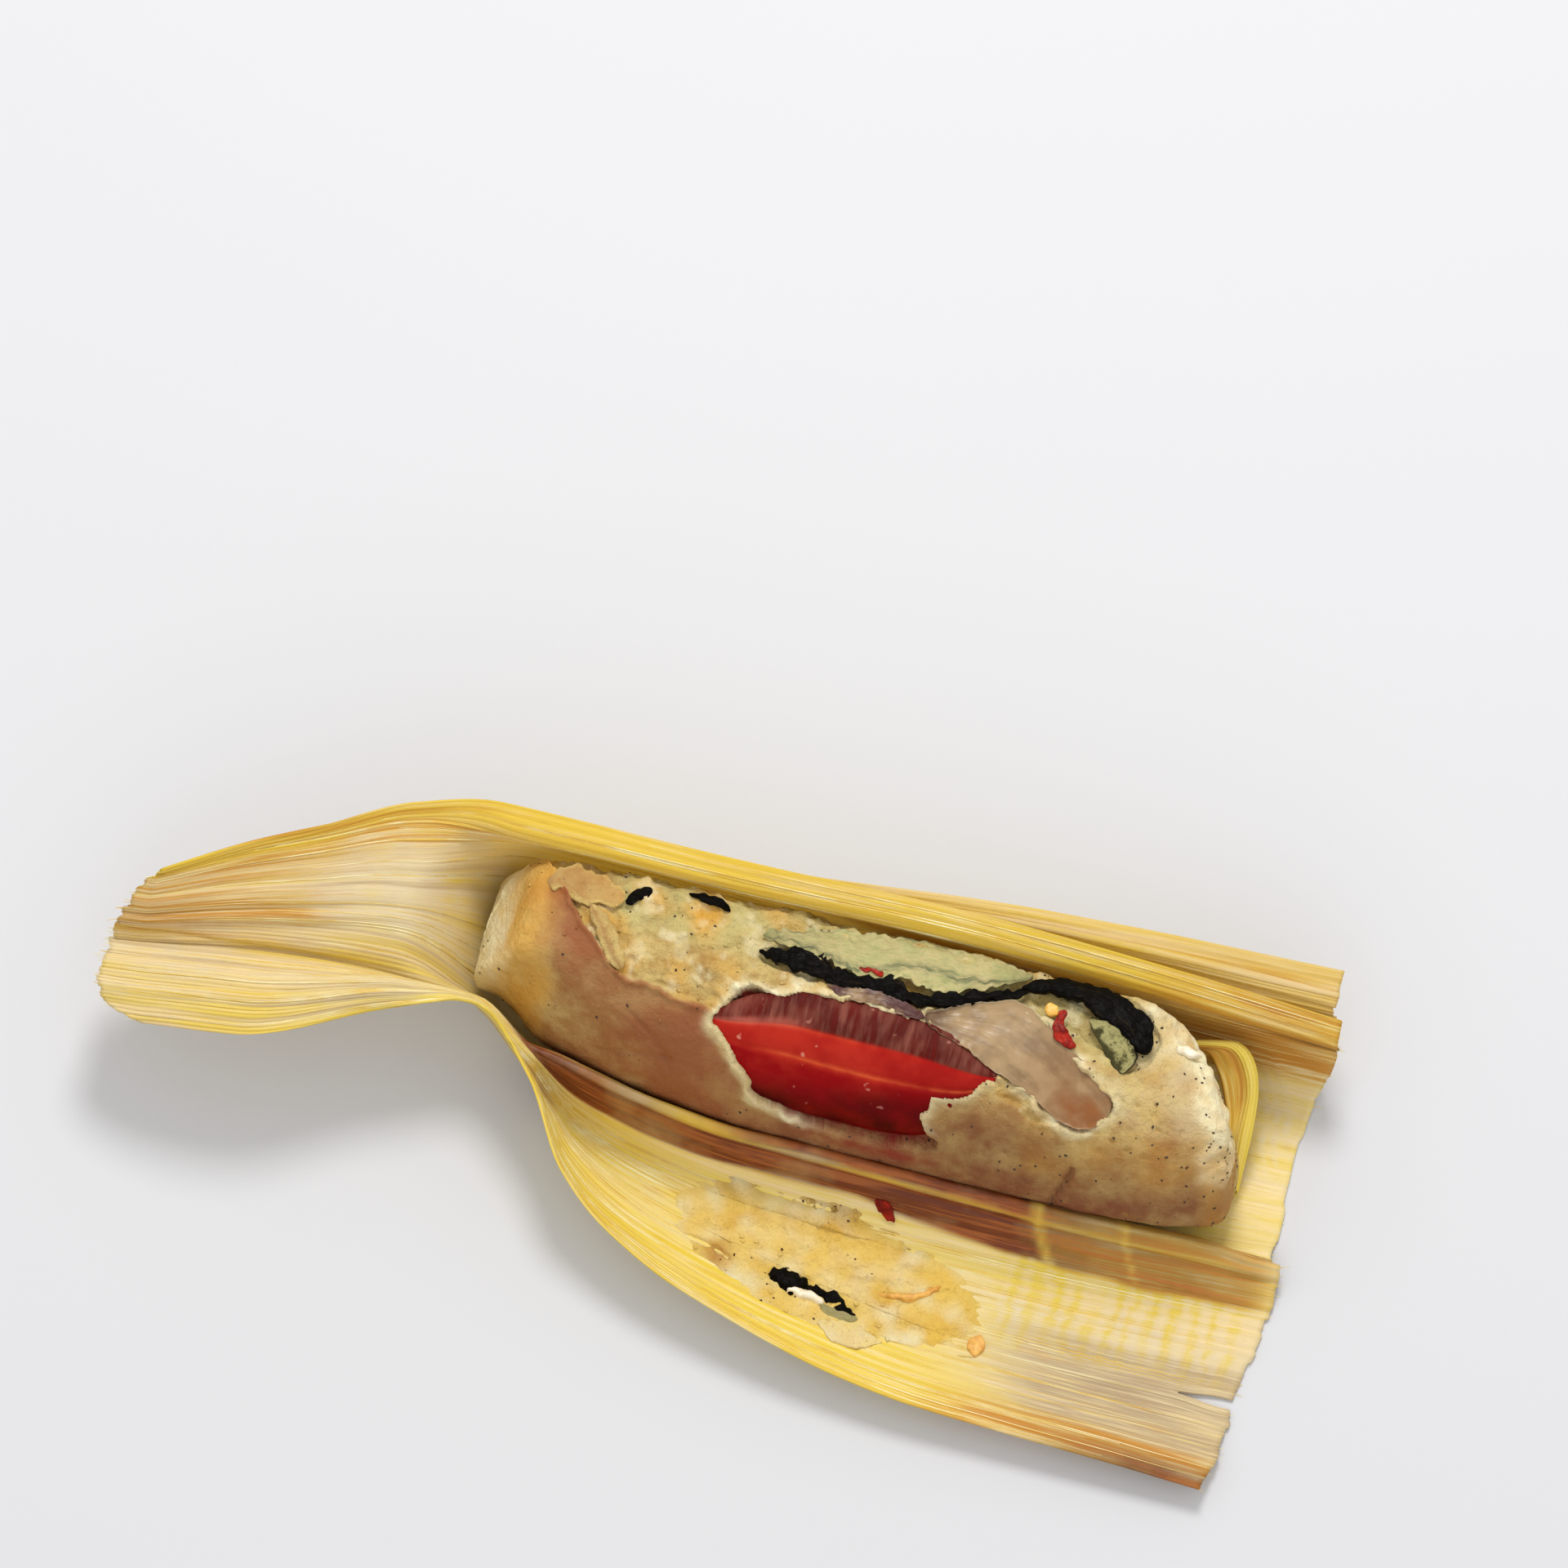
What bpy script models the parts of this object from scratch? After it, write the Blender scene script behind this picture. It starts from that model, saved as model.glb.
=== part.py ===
"""An opened tamale: a bar of masa with vegetables showing through its torn top, lying in its corn husk.

Metres, +Z up. The origin is the middle of the husk's flat underside, beneath the masa. +X runs along the
masa to the cut end of the husk, +Y to the husk's standing back wall. The sizes below are in millimetres,
and mesh_object turns them into metres.
"""

from math import pi, tau

import bmesh
import bpy
import numpy as np

MM = 0.001

# Gaps and wall thicknesses
HUSK_THICKNESS = 0.8
GAP = 0.35

# A pointed body ends in a small flat face, in a ring at this share of its half length
LAST_RING = 0.985

# The main husk leaf, from the tip of its tail to its cut end. Each line runs the length of the leaf and is
# given where it bends: (distance along the masa, value).
TAIL_TIP_X = -130.0
CUT_END_X = 80.0
TAIL_FROM, TAIL_TO = -61.5, -82.0
RIM_Y = ((-124, 1.5), (-111, 9), (-98, 15.5), (-84, 22.8), (-69, 26.2), (-40, 26.2), (30, 27.6), (80, 27.5))
RIM_Z = ((-130, 24), (-105, 27.5), (-80, 29), (-50, 31), (0, 31), (40, 27), (80, 19))
CREST_Y = ((-130, -11), (-92, -6.2), (-78, -5.8), (-66, -5.8), (-55, -11), (-14, -16.4), (35, -16.2), (80, -14))
CREST_Z = ((-130, 17), (-105, 19), (-80, 18.5), (-65, 17), (-55, 14), (-30, 12), (20, 10.5), (58, 8), (80, 3))
EDGE_Y = (
    (-121, -25.2), (-104, -23.6), (-78, -11.4), (-66, -8), (-54, -17.5), (-45, -31), (-34, -39.3),
    (-14, -47), (6, -51.7), (24, -54), (80, -55.5),
)  # fmt: skip
EDGE_Z = ((-130, 20), (-104, 24.5), (-70, 23), (-50, 19), (-38, 13.5), (-24, 11), (-3, 8.5), (25, 6), (80, 4))
TIP_TRIM = ((0, 6), (0.3, 2), (0.62, 0), (0.85, 1.5), (1, 9))
CUT_TRIM = ((0, 0.6), (0.2, 0), (0.36, 2.4), (0.52, 2.4), (0.7, 0.3), (0.82, 2.4), (0.92, 3), (1, 4.5))

# Across the leaf: from the back rim, down the wall, over the flat floor and up to the crest of the front
# fold, at the shares of that run given first; then down the fold's outer side and out to the flap's edge
TROUGH_SHARES = (0, 0.1, 0.32, 0.5, 0.58, 0.78, 0.88, 0.96, 1)
RIM_IN, RIM_DOWN = 4.0, 4.4
WALL_Y, WALL_Z = 23.4, 15.0
BACK_FOOT_Y, BACK_FOOT_Z = 18.5, 1.6
FLOOR_INSET = 5.0
FOLD_FOOT_IN, FOLD_FOOT_Z = 1.8, 2.2
FOLD_TOP_IN, FOLD_TOP_DOWN = 0.5, 2.2
CREST_AT = 0.62
RIM_CURL, RIM_CURL_TO, TAIL_BULGE, TAIL_LOBE = 2.2, 0.22, 3.0, 3.4
FLAP_OPEN_FROM, FLAP_OPEN_TO = 3.0, 24.0
FLAP_DROP, FLAP_LIFT, FLAP_REST = 7.0, 2.4, 1.2

# The outer leaf, behind the back wall
OUTER_FROM_X, OUTER_TO_X, OUTER_SLANT = -26.0, 78.0, 48.0
OUTER_TOP, OUTER_FOOT = 0.02, 0.3
OUTER_STANDOFF, OUTER_RISE = 1.5, 0.28
OUTER_REACH = ((-26, 0.8), (-10, 1.8), (24, 4.8), (78, 9.4))

# The masa: a bar whose section leans back, with its crest over the origin
MASA_LEFT_X, MASA_RIGHT_X = -66.0, 67.0
MASA_HEIGHT = 30.5
MASA_FOOT_Z = 1.15
MASA_SECTION = (
    (-13.2, 5), (-14.6, 12.4), (-7.4, 24.2), (1.5, 30.2), (11.5, 30.6), (20.8, 27.6), (21.2, 17), (18.9, 5.5),
    (13, 1.15), (-8.5, 1.15),
)  # fmt: skip
MASA_CENTRE = (3.5, 12.0)
MASA_FROM_FOLD = 3.0
MASA_LEFT_LEAN, MASA_LEFT_LEAN_FROM = 9.0, 0.4
MASA_RIGHT_LEAN, MASA_RIGHT_LEAN_FROM = 5.0, 0.6
MASA_END_POWER, MASA_TAPER = 11.0, 0.04

# The tomato wedge: the line of its upper ridge, and its section in (y, z) from that ridge
TOMATO_FROM_X, TOMATO_TO_X = -26.0, 24.5
TOMATO_RIDGE_Y = ((-26, -1), (-10, 2.2), (6, 2.2), (24.5, 0.6))
TOMATO_RIDGE_Z = ((-26, 28.6), (-8, 31.2), (8, 31.2), (24.5, 29.8))
TOMATO_SECTION = (
    (5.2, -0.9), (0, 0), (-5, -2.2), (-9.8, -7.4), (-13.2, -14.2), (-9, -17), (-2, -14), (4, -7),
)  # fmt: skip
TOMATO_TAPER, TOMATO_POINT = 3.0, 0.6

# The other vegetables: where each strip's middle line runs, and its width, thickness and tilt in degrees
ONION = {
    "path": ((12.8, 9, 29.3), (21, 8.2, 29.7), (31.5, 4.9, 28.6), (42, -0.4, 24.8)),
    "width": (4.5, 7.5, 9.5, 8),
    "thickness": (2.2, 2.8, 3.0, 2.6),
    "tilt": (0, -8, -24, -42),
}
PEPPER_LONG = {
    "path": ((-20.5, 12.6, 30), (-11, 11.8, 30), (0, 11.6, 29.2), (12, 12.8, 28.2), (25, 15.4, 27.6)),
    "width": (4.6, 5.4, 6.4, 6, 5),
    "thickness": (1.8, 2.0, 1.8, 1.6, 1.6),
    "tilt": (-12, -22, -48, -66, -60),
}
PEPPER_HOOK = {
    "path": ((28, 17.2, 28), (36.5, 18, 27.6), (44, 15.8, 28.4), (48, 11.2, 28.9), (46, 7.2, 29.6)),
    "width": (5, 6, 6.5, 5.6, 4.2),
    "thickness": (2.0, 2.4, 2.6, 2.2, 1.8),
    "tilt": (14, 10, 6, 4, 0),
}
PEPPER_FLESH = {
    "path": ((-14, 17.6, 29), (0, 17.9, 28.7), (12, 18.6, 28.2), (24, 19.8, 27.2)),
    "width": (4.6, 7, 6.4, 4.2),
    "thickness": (2.4, 3.0, 3.0, 2.2),
    "tilt": (-14, -14, -16, -20),
}

STRIP_TAPER, STRIP_END_THICKNESS = 6.0, 0.35

# Masa left stuck on the opened flap, with lobes round its edge given as (count, share of its size, phase),
# and the scrap of pepper on it
SMEAR_MIDDLE = (3.5, -34.0)
SMEAR_LENGTH, SMEAR_WIDTH, SMEAR_THICKNESS = 62.0, 20.0, 2.2
SMEAR_RIM = 0.5
SMEAR_TURN = -0.24
SMEAR_LOBES = ((3, 0.09, 0.6), (7, 0.06, 0.0))
SCRAP_MIDDLE = (1.2, -40.6)
SCRAP_LENGTH, SCRAP_WIDTH, SCRAP_THICKNESS = 17.0, 4.6, 1.6
SCRAP_TURN, SCRAP_TAPER = -0.27, 3.0

# The strip of husk that curls round the masa's far end: where its foot runs (x, across the leaf)
CURL_PATH = ((66, 0.316), (69.8, 0.354), (71, 0.397), (70.8, 0.436), (69.6, 0.472))
CURL_HEIGHT = (13, 11.5, 8.5, 5.5, 3)
CURL_LEAN = -1.2
CURL_THICKNESS = 0.7

COLOURS = {
    "husk": ((0.80, 0.60, 0.22), 0.45),
    "masa": ((0.72, 0.58, 0.34), 0.75),
    "tomato": ((0.55, 0.05, 0.03), 0.2),
    "onion": ((0.62, 0.52, 0.38), 0.3),
    "pepper_skin": ((0.02, 0.02, 0.015), 0.25),
    "pepper_flesh": ((0.56, 0.58, 0.38), 0.4),
}


def ease(x, start, end):
    """0 up to start, 1 from end, and smooth between them."""
    t = np.clip((x - start) / (end - start), 0, 1)
    return t * t * (3 - 2 * t)


def hump(x, start, end):
    """0 at start and end and beyond them, and 1 half-way."""
    return np.sin(pi * np.clip((x - start) / (end - start), 0, 1))


def through(x, stations):
    """A smooth curve's value at x, through (x, value) stations, with no overshoot between them."""
    at, value = np.array(stations, float).T
    step = np.diff(at)
    rise = np.diff(value) / step
    slope = np.concatenate([rise[:1], np.zeros(len(rise) - 1), rise[-1:]])
    same_way = rise[:-1] * rise[1:] > 0
    slope[1:-1][same_way] = (2 * rise[:-1] * rise[1:])[same_way] / (rise[:-1] + rise[1:])[same_way]
    x = np.clip(x, at[0], at[-1])
    i = np.clip(np.searchsorted(at, x) - 1, 0, len(step) - 1)
    t = (x - at[i]) / step[i]
    return (
        value[i] * (1 + 2 * t) * (1 - t) ** 2
        + slope[i] * step[i] * t * (1 - t) ** 2
        + value[i + 1] * t * t * (3 - 2 * t)
        + slope[i + 1] * step[i] * t * t * (t - 1)
    )


def along_shares(t, values, shares=None):
    """A smooth curve's value at t, through values at the shares given, or at even shares from 0 to 1."""
    shares = np.linspace(0, 1, len(values)) if shares is None else shares
    return through(t, np.column_stack([shares, values]))


def closed_curve(corners, count):
    """Count points evenly spread over a smooth closed curve through the corners."""
    corners = np.array(corners, float)
    places = np.arange(count) * len(corners) / count
    i = places.astype(int)
    t = (places - i)[:, None]
    before, start, end, after = (corners[(i + k) % len(corners)] for k in (-1, 0, 1, 2))
    return (
        start
        + 0.5 * t * (end - before)
        + t * t * (before - 2.5 * start + 2 * end - 0.5 * after)
        + t**3 * (1.5 * (start - end) + 0.5 * (after - before))
    )


def trough_section(x):
    """The section of the leaf from its back rim to the crest of its front fold, as (share, y, z) rows."""
    share = np.array(TROUGH_SHARES)
    rim_y, rim_z = through(x, RIM_Y), through(x, RIM_Z)
    crest_y, crest_z = through(x, CREST_Y), through(x, CREST_Z)
    back_y = (rim_y, rim_y - RIM_IN, WALL_Y, BACK_FOOT_Y, BACK_FOOT_Y - FLOOR_INSET)
    back_z = (rim_z, rim_z - RIM_DOWN, WALL_Z, BACK_FOOT_Z, 0)
    front_y = (crest_y + FLOOR_INSET, crest_y + FOLD_FOOT_IN, crest_y + FOLD_TOP_IN, crest_y)
    front_z = (0, FOLD_FOOT_Z, crest_z - FOLD_TOP_DOWN, crest_z)
    body_y, body_z = np.array(back_y + front_y), np.array(back_z + front_z)
    tail_y = rim_y + (crest_y - rim_y) * share
    tail_z = rim_z + (crest_z - rim_z) * share + TAIL_BULGE * hump(share, RIM_CURL_TO, 1)
    tail_z -= RIM_CURL * hump(share, 0, RIM_CURL_TO)
    tail = ease(x, TAIL_FROM, TAIL_TO)
    return share, body_y + (tail_y - body_y) * tail, body_z + (tail_z - body_z) * tail


def husk_under(x, across):
    """A point of the main leaf's underside: across is 0 at the back rim and 1 at the flap's outer edge."""
    if across <= CREST_AT:
        share, y, z = trough_section(x)
        place = across / CREST_AT
        return np.array([x, along_shares(place, y, share), along_shares(place, z, share)])
    spread = (across - CREST_AT) / (1 - CREST_AT)
    crest_y, edge_y = through(x, CREST_Y), through(x, EDGE_Y)
    opened = ease(crest_y - edge_y, FLAP_OPEN_FROM, FLAP_OPEN_TO)
    drop, lift = 1 + FLAP_DROP * opened, 1 + FLAP_LIFT * opened
    crest_z, edge_z = through(x, CREST_Z), through(x, EDGE_Z)
    body_z = crest_z * (1 - spread) ** drop + edge_z * spread**lift
    body_z = max(body_z - FLAP_REST * opened * hump(spread, 0, 1), 0)
    tail_z = crest_z + (edge_z - crest_z) * spread + TAIL_LOBE * hump(spread, 0, 1)
    z = body_z + (tail_z - body_z) * ease(x, TAIL_FROM, TAIL_TO)
    return np.array([x, crest_y + (edge_y - crest_y) * spread, z])


def husk_place(along, across):
    """A point of the main leaf's underside: along is 0 at the tail's trimmed tip and 1 at the cut end."""
    tip, cut = TAIL_TIP_X + through(across, TIP_TRIM), CUT_END_X - through(across, CUT_TRIM)
    return husk_under(tip + (cut - tip) * along, across)


def normal_at(surface, along, across, step=1e-3):
    """The upward unit normal of a surface of two shares."""
    d_along = surface(along + step, across) - surface(along - step, across)
    d_across = surface(along, across + step) - surface(along, across - step)
    normal = np.cross(d_across, d_along)
    return normal / np.linalg.norm(normal)


def husk_top(x, across, lift):
    """A point at the given height over the main leaf's upper face."""
    return husk_under(x, across) + (HUSK_THICKNESS + lift) * normal_at(husk_under, x, across)


def flap_top(x, y, lift):
    """The point above (x, y) of the opened flap, at the given height over its upper face."""
    crest_y = through(x, CREST_Y)
    spread = (crest_y - y) / (crest_y - through(x, EDGE_Y))
    return husk_top(x, CREST_AT + (1 - CREST_AT) * spread, lift)


def turned(middle, angle, along, aside):
    """The place along and aside from a middle, on axes turned by an angle."""
    return (
        middle[0] + along * np.cos(angle) - aside * np.sin(angle),
        middle[1] + along * np.sin(angle) + aside * np.cos(angle),
    )


def outer_leaf(along, across):
    """A point of the outer leaf: across is 0 at its upper edge and 1 at its foot, behind the back wall."""
    start = OUTER_FROM_X + OUTER_SLANT * across
    x = start + (OUTER_TO_X - start) * along
    reach = through(x, OUTER_REACH)
    place = OUTER_TOP + (OUTER_FOOT - OUTER_TOP) * across
    behind = husk_under(x, place) - OUTER_STANDOFF * normal_at(husk_under, x, place)
    away = reach * (1 - across) ** 2
    return behind + np.array([0, away, OUTER_RISE * away])


def end_curl(along, across):
    """A point of the strip that curls round the masa's far end: across is 0 at its foot, 1 at its top."""
    x, place = (along_shares(along, values) for values in zip(*CURL_PATH))
    height = along_shares(along, CURL_HEIGHT)
    return husk_top(x, place, 2 * GAP) + np.array([CURL_LEAN, 0, height]) * across


def masa_ring(place, count):
    """One section of the masa: place runs from -1 to 1 along the bar."""
    size = (1 - abs(place) ** MASA_END_POWER) ** (1 / MASA_END_POWER)
    size *= 1 - MASA_TAPER * place**2
    points = MASA_CENTRE + (closed_curve(MASA_SECTION, count) - MASA_CENTRE) * size
    x = (MASA_RIGHT_X + MASA_LEFT_X) / 2 + (MASA_RIGHT_X - MASA_LEFT_X) / 2 * place
    full = MASA_CENTRE[0] - MASA_SECTION[0][0]
    narrowed = (MASA_CENTRE[0] - MASA_FROM_FOLD - through(x, CREST_Y)) / full
    front = points[:, 0] < MASA_CENTRE[0]
    points[front, 0] = MASA_CENTRE[0] + (points[front, 0] - MASA_CENTRE[0]) * narrowed
    points[:, 1] = np.maximum(points[:, 1], MASA_FOOT_Z)
    lean = MASA_LEFT_LEAN * ease(-place, MASA_LEFT_LEAN_FROM, 1)
    lean -= MASA_RIGHT_LEAN * ease(place, MASA_RIGHT_LEAN_FROM, 1)
    return np.column_stack([x + lean * points[:, 1] / MASA_HEIGHT, points])


def masa_rings(rows=30, count=30):
    """Sections of the masa, closest together at its rounded ends."""
    places = np.sin(np.linspace(-1, 1, rows) * pi / 2 * LAST_RING)
    return [masa_ring(place, count) for place in places]


def tomato_rings(grow=0.0, rows=15, count=16):
    """Sections of the tomato wedge, drawn in to a point at each end."""
    rings = []
    middle_x, half_length = (TOMATO_FROM_X + TOMATO_TO_X) / 2, (TOMATO_TO_X - TOMATO_FROM_X) / 2
    for t in np.linspace(-1, 1, rows) * LAST_RING:
        x = middle_x + (half_length + grow) * t
        size = (1 - abs(t) ** TOMATO_TAPER) ** TOMATO_POINT
        section = closed_curve(TOMATO_SECTION, count) * size
        middle = section.mean(axis=0)
        away = section - middle
        section = section + away / np.linalg.norm(away, axis=1)[:, None] * grow
        ridge = (through(x, TOMATO_RIDGE_Y), through(x, TOMATO_RIDGE_Z))
        rings.append(np.column_stack([np.full(count, x), section + ridge]))
    return rings


def strip_rings(strip, grow=0.0, rows=13, count=10):
    """Sections of a flat strip that bends and tilts as it runs."""

    def middle(t):
        return np.array([along_shares(t, values) for values in zip(*strip["path"])])

    rings = []
    for place in np.linspace(-1, 1, rows) * LAST_RING:
        t = (1 + place) / 2
        forward = middle(t + 0.005) - middle(t - 0.005)
        forward /= np.linalg.norm(forward)
        side = np.cross(forward, (0, 0, 1))
        side /= np.linalg.norm(side)
        up = np.cross(side, forward)
        tilt = np.radians(along_shares(t, strip["tilt"]))
        wide, thick = side * np.cos(tilt) + up * np.sin(tilt), up * np.cos(tilt) - side * np.sin(tilt)
        size = (1 - abs(place) ** STRIP_TAPER) ** 0.5
        thinned = STRIP_END_THICKNESS + (1 - STRIP_END_THICKNESS) * size
        half_width = along_shares(t, strip["width"]) / 2 * size + grow
        half_thickness = along_shares(t, strip["thickness"]) / 2 * thinned + grow
        angle = np.arange(count) * tau / count
        outline = np.outer(np.cos(angle) * half_width, wide) + np.outer(np.sin(angle) * half_thickness, thick)
        rings.append(middle(t) + outline)
    rings[0] -= forward_step(rings[0], rings[1]) * grow
    rings[-1] -= forward_step(rings[-1], rings[-2]) * grow
    return rings


def forward_step(ring, following):
    """The unit direction from the middle of one ring to the middle of the next."""
    step = following.mean(axis=0) - ring.mean(axis=0)
    return step / np.linalg.norm(step)


def smear_rings(rows=6, count=26):
    """Rings of the stuck masa, from the middle of its upper face to its edge, then back under it."""

    def ring(size, lift):
        angle = np.arange(count) * tau / count
        ragged = size * (1 + sum(part * np.sin(lobes * angle + phase) for lobes, part, phase in SMEAR_LOBES))
        along = SMEAR_LENGTH / 2 * ragged * np.cos(angle)
        aside = SMEAR_WIDTH / 2 * ragged * np.sin(angle)
        places = np.transpose(turned(SMEAR_MIDDLE, SMEAR_TURN, along, aside))
        return np.array([flap_top(x, y, GAP + lift) for x, y in places])

    sizes = np.linspace(0.05, 1, rows)
    upper = [ring(size, SMEAR_RIM + SMEAR_THICKNESS * (1 - size**2) ** 0.5) for size in sizes]
    return upper + [ring(size, 0.0) for size in sizes[::-1]]


def scrap_rings(rows=9, count=10):
    """Sections of the pepper scrap that lies on the stuck masa."""
    rings = []
    for t in np.linspace(-1, 1, rows) * LAST_RING:
        size = (1 - abs(t) ** SCRAP_TAPER) ** 0.5
        x, y = turned(SCRAP_MIDDLE, SCRAP_TURN, SCRAP_LENGTH / 2 * t, 0)
        middle = flap_top(x, y, 2 * GAP + SMEAR_RIM + SMEAR_THICKNESS + SCRAP_THICKNESS / 2)
        angle = np.arange(count) * tau / count
        y = middle[1] + SCRAP_WIDTH / 2 * size * np.cos(angle)
        z = middle[2] + SCRAP_THICKNESS / 2 * size * np.sin(angle)
        rings.append(np.column_stack([np.full(count, middle[0]), y, z]))
    return rings


def collection_named(name):
    found = bpy.data.collections.new(name)
    bpy.context.scene.collection.children.link(found)
    return found


def finish_material(name):
    """The Principled material of a finish in COLOURS."""
    if name in bpy.data.materials:
        return bpy.data.materials[name]
    colour, roughness = COLOURS[name]
    made = bpy.data.materials.new(name)
    made.use_nodes = True
    shader = made.node_tree.nodes["Principled BSDF"]
    shader.inputs["Base Color"].default_value = (*colour, 1)
    shader.inputs["Roughness"].default_value = roughness
    return made


def mesh_object(name, points, faces, material, collection):
    """An object from points in millimetres."""
    mesh = bpy.data.meshes.new(name)
    mesh.from_pydata((np.array(points) * MM).tolist(), [], faces)
    obj = bpy.data.objects.new(name, mesh)
    collection.objects.link(obj)
    obj.data.materials.append(finish_material(material))
    obj.data.shade_smooth()
    return obj


def sheet(name, surface, columns, rows, thickness, material, collection):
    """A leaf: a surface of two shares with its thickness laid on its upper side."""
    points = [surface(along, across) for along in columns for across in rows]
    wide = len(rows)
    faces = [
        (i * wide + j, i * wide + j + 1, (i + 1) * wide + j + 1, (i + 1) * wide + j)
        for i in range(len(columns) - 1)
        for j in range(wide - 1)
    ]
    obj = mesh_object(name, points, faces, material, collection)
    solidify = obj.modifiers.new("thickness", "SOLIDIFY")
    solidify.thickness = thickness * MM
    solidify.offset = 1
    solidify.use_even_offset = False
    solidify.use_quality_normals = True
    return obj


def loft(name, rings, material, collection):
    """A closed body through rings of points, with a face over each end."""
    count = len(rings[0])
    points = np.concatenate(rings)
    faces = [
        (i * count + j, i * count + (j + 1) % count, (i + 1) * count + (j + 1) % count, (i + 1) * count + j)
        for i in range(len(rings) - 1)
        for j in range(count)
    ]
    faces.append(tuple(range(count)))
    faces.append(tuple(range(len(points) - count, len(points))))
    obj = mesh_object(name, points, faces, material, collection)
    outwards = bmesh.new()
    outwards.from_mesh(obj.data)
    bmesh.ops.recalc_face_normals(outwards, faces=outwards.faces)
    outwards.to_mesh(obj.data)
    outwards.free()
    return obj


def pocket(body, cutter):
    """Cuts the cutter's shape out of the body."""
    cutter.hide_render = True
    cutter.display_type = "WIRE"
    cut = body.modifiers.new("pocket " + cutter.name, "BOOLEAN")
    cut.operation = "DIFFERENCE"
    cut.solver = "EXACT"
    cut.object = cutter


def husk_columns(count=38):
    """Shares along the main leaf, closer together where the trough closes into the tail."""
    return through(np.linspace(0, 1, count), ((0, 0), (0.34, 0.24), (0.66, 0.44), (1, 1)))


def husk_rows(count=24):
    """Shares across the main leaf, closer together at the crest of the front fold."""
    return through(np.linspace(0, 1, count), ((0, 0), (0.45, 0.5), (0.7, CREST_AT + 0.02), (1, 1)))


def build():
    tamale = collection_named("tamale")
    cutters = collection_named("cutters")

    sheet("husk", husk_place, husk_columns(), husk_rows(), HUSK_THICKNESS, "husk", tamale)
    outer_columns, outer_rows = np.linspace(0, 1, 20), np.linspace(0, 1, 8)
    sheet("husk_outer_leaf", outer_leaf, outer_columns, outer_rows, HUSK_THICKNESS, "husk", tamale)
    sheet("husk_curl", end_curl, np.linspace(0, 1, 12), np.linspace(0, 1, 4), CURL_THICKNESS, "husk", tamale)

    masa = loft("masa", masa_rings(), "masa", tamale)
    loft("tomato", tomato_rings(), "tomato", tamale)
    pocket(masa, loft("tomato pocket", tomato_rings(GAP), "masa", cutters))
    strips = {
        "onion": (ONION, "onion"),
        "pepper_long": (PEPPER_LONG, "pepper_skin"),
        "pepper_hook": (PEPPER_HOOK, "pepper_skin"),
        "pepper_flesh": (PEPPER_FLESH, "pepper_flesh"),
    }
    for name, (strip, material) in strips.items():
        loft(name, strip_rings(strip), material, tamale)
        pocket(masa, loft(name + " pocket", strip_rings(strip, GAP), "masa", cutters))

    loft("masa_smear", smear_rings(), "masa", tamale)
    loft("pepper_scrap", scrap_rings(), "pepper_skin", tamale)


def main():
    for obj in list(bpy.data.objects):
        bpy.data.objects.remove(obj)
    build()


main()
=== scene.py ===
"""The looks of an opened tamale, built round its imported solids.

Shapes are worked out in millimetres, in the solids' own frame: +X along the masa to the cut end of the husk,
+Y to the standing back wall, +Z up. make_piece turns them into metres.
"""

from math import pi, radians, tau

import bpy
import numpy as np
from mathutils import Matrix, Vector, noise


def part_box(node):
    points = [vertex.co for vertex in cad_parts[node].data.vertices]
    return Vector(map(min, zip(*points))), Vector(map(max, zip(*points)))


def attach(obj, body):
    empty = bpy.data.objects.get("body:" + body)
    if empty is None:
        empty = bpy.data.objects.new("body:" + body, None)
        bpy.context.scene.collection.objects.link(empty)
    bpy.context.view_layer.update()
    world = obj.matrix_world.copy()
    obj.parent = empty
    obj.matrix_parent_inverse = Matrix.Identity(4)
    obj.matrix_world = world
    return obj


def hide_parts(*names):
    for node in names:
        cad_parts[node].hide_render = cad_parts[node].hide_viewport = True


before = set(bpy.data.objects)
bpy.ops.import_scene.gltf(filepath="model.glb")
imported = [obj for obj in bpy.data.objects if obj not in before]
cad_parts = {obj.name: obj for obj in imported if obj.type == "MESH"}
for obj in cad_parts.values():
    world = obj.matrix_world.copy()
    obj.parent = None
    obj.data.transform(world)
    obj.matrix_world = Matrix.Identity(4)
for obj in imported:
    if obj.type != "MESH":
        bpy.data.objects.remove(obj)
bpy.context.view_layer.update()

MM = 0.001


def box_mm(node):
    """The lowest and highest corners of a solid, in millimetres."""
    return [np.array(corner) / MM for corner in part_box(node)]


HUSK_LOW, HUSK_HIGH = box_mm("husk")
MASA_LOW, MASA_HIGH = box_mm("masa")

# The main husk leaf, as the solid has it: (distance along the masa, value) wherever a line bends
TAIL_TIP_X, CUT_END_X = HUSK_LOW[0], HUSK_HIGH[0]
TAIL_FROM, TAIL_TO = -61.5, -82.0
RIM_Y = ((-124, 1.5), (-111, 9), (-98, 15.5), (-84, 22.8), (-69, 26.2), (-40, 26.2), (30, 27.6), (80, 27.5))
RIM_Z = ((-130, 24), (-105, 27.5), (-80, 29), (-50, 31), (0, 31), (40, 27), (80, 19))
CREST_Y = (
    (-130, -11), (-92, -6.2), (-78, -5.8), (-66, -5.8), (-55, -11), (-14, -16.4), (35, -16.2), (80, -14),
)
CREST_Z = (
    (-130, 17), (-105, 19), (-80, 18.5), (-65, 17), (-55, 14), (-30, 12), (20, 10.5), (58, 8), (80, 3),
)
EDGE_Y = (
    (-121, -25.2), (-104, -23.6), (-78, -11.4), (-66, -8), (-54, -17.5), (-45, -31), (-34, -39.3),
    (-14, -47), (6, -51.7), (24, -54), (80, -55.5),
)
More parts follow.
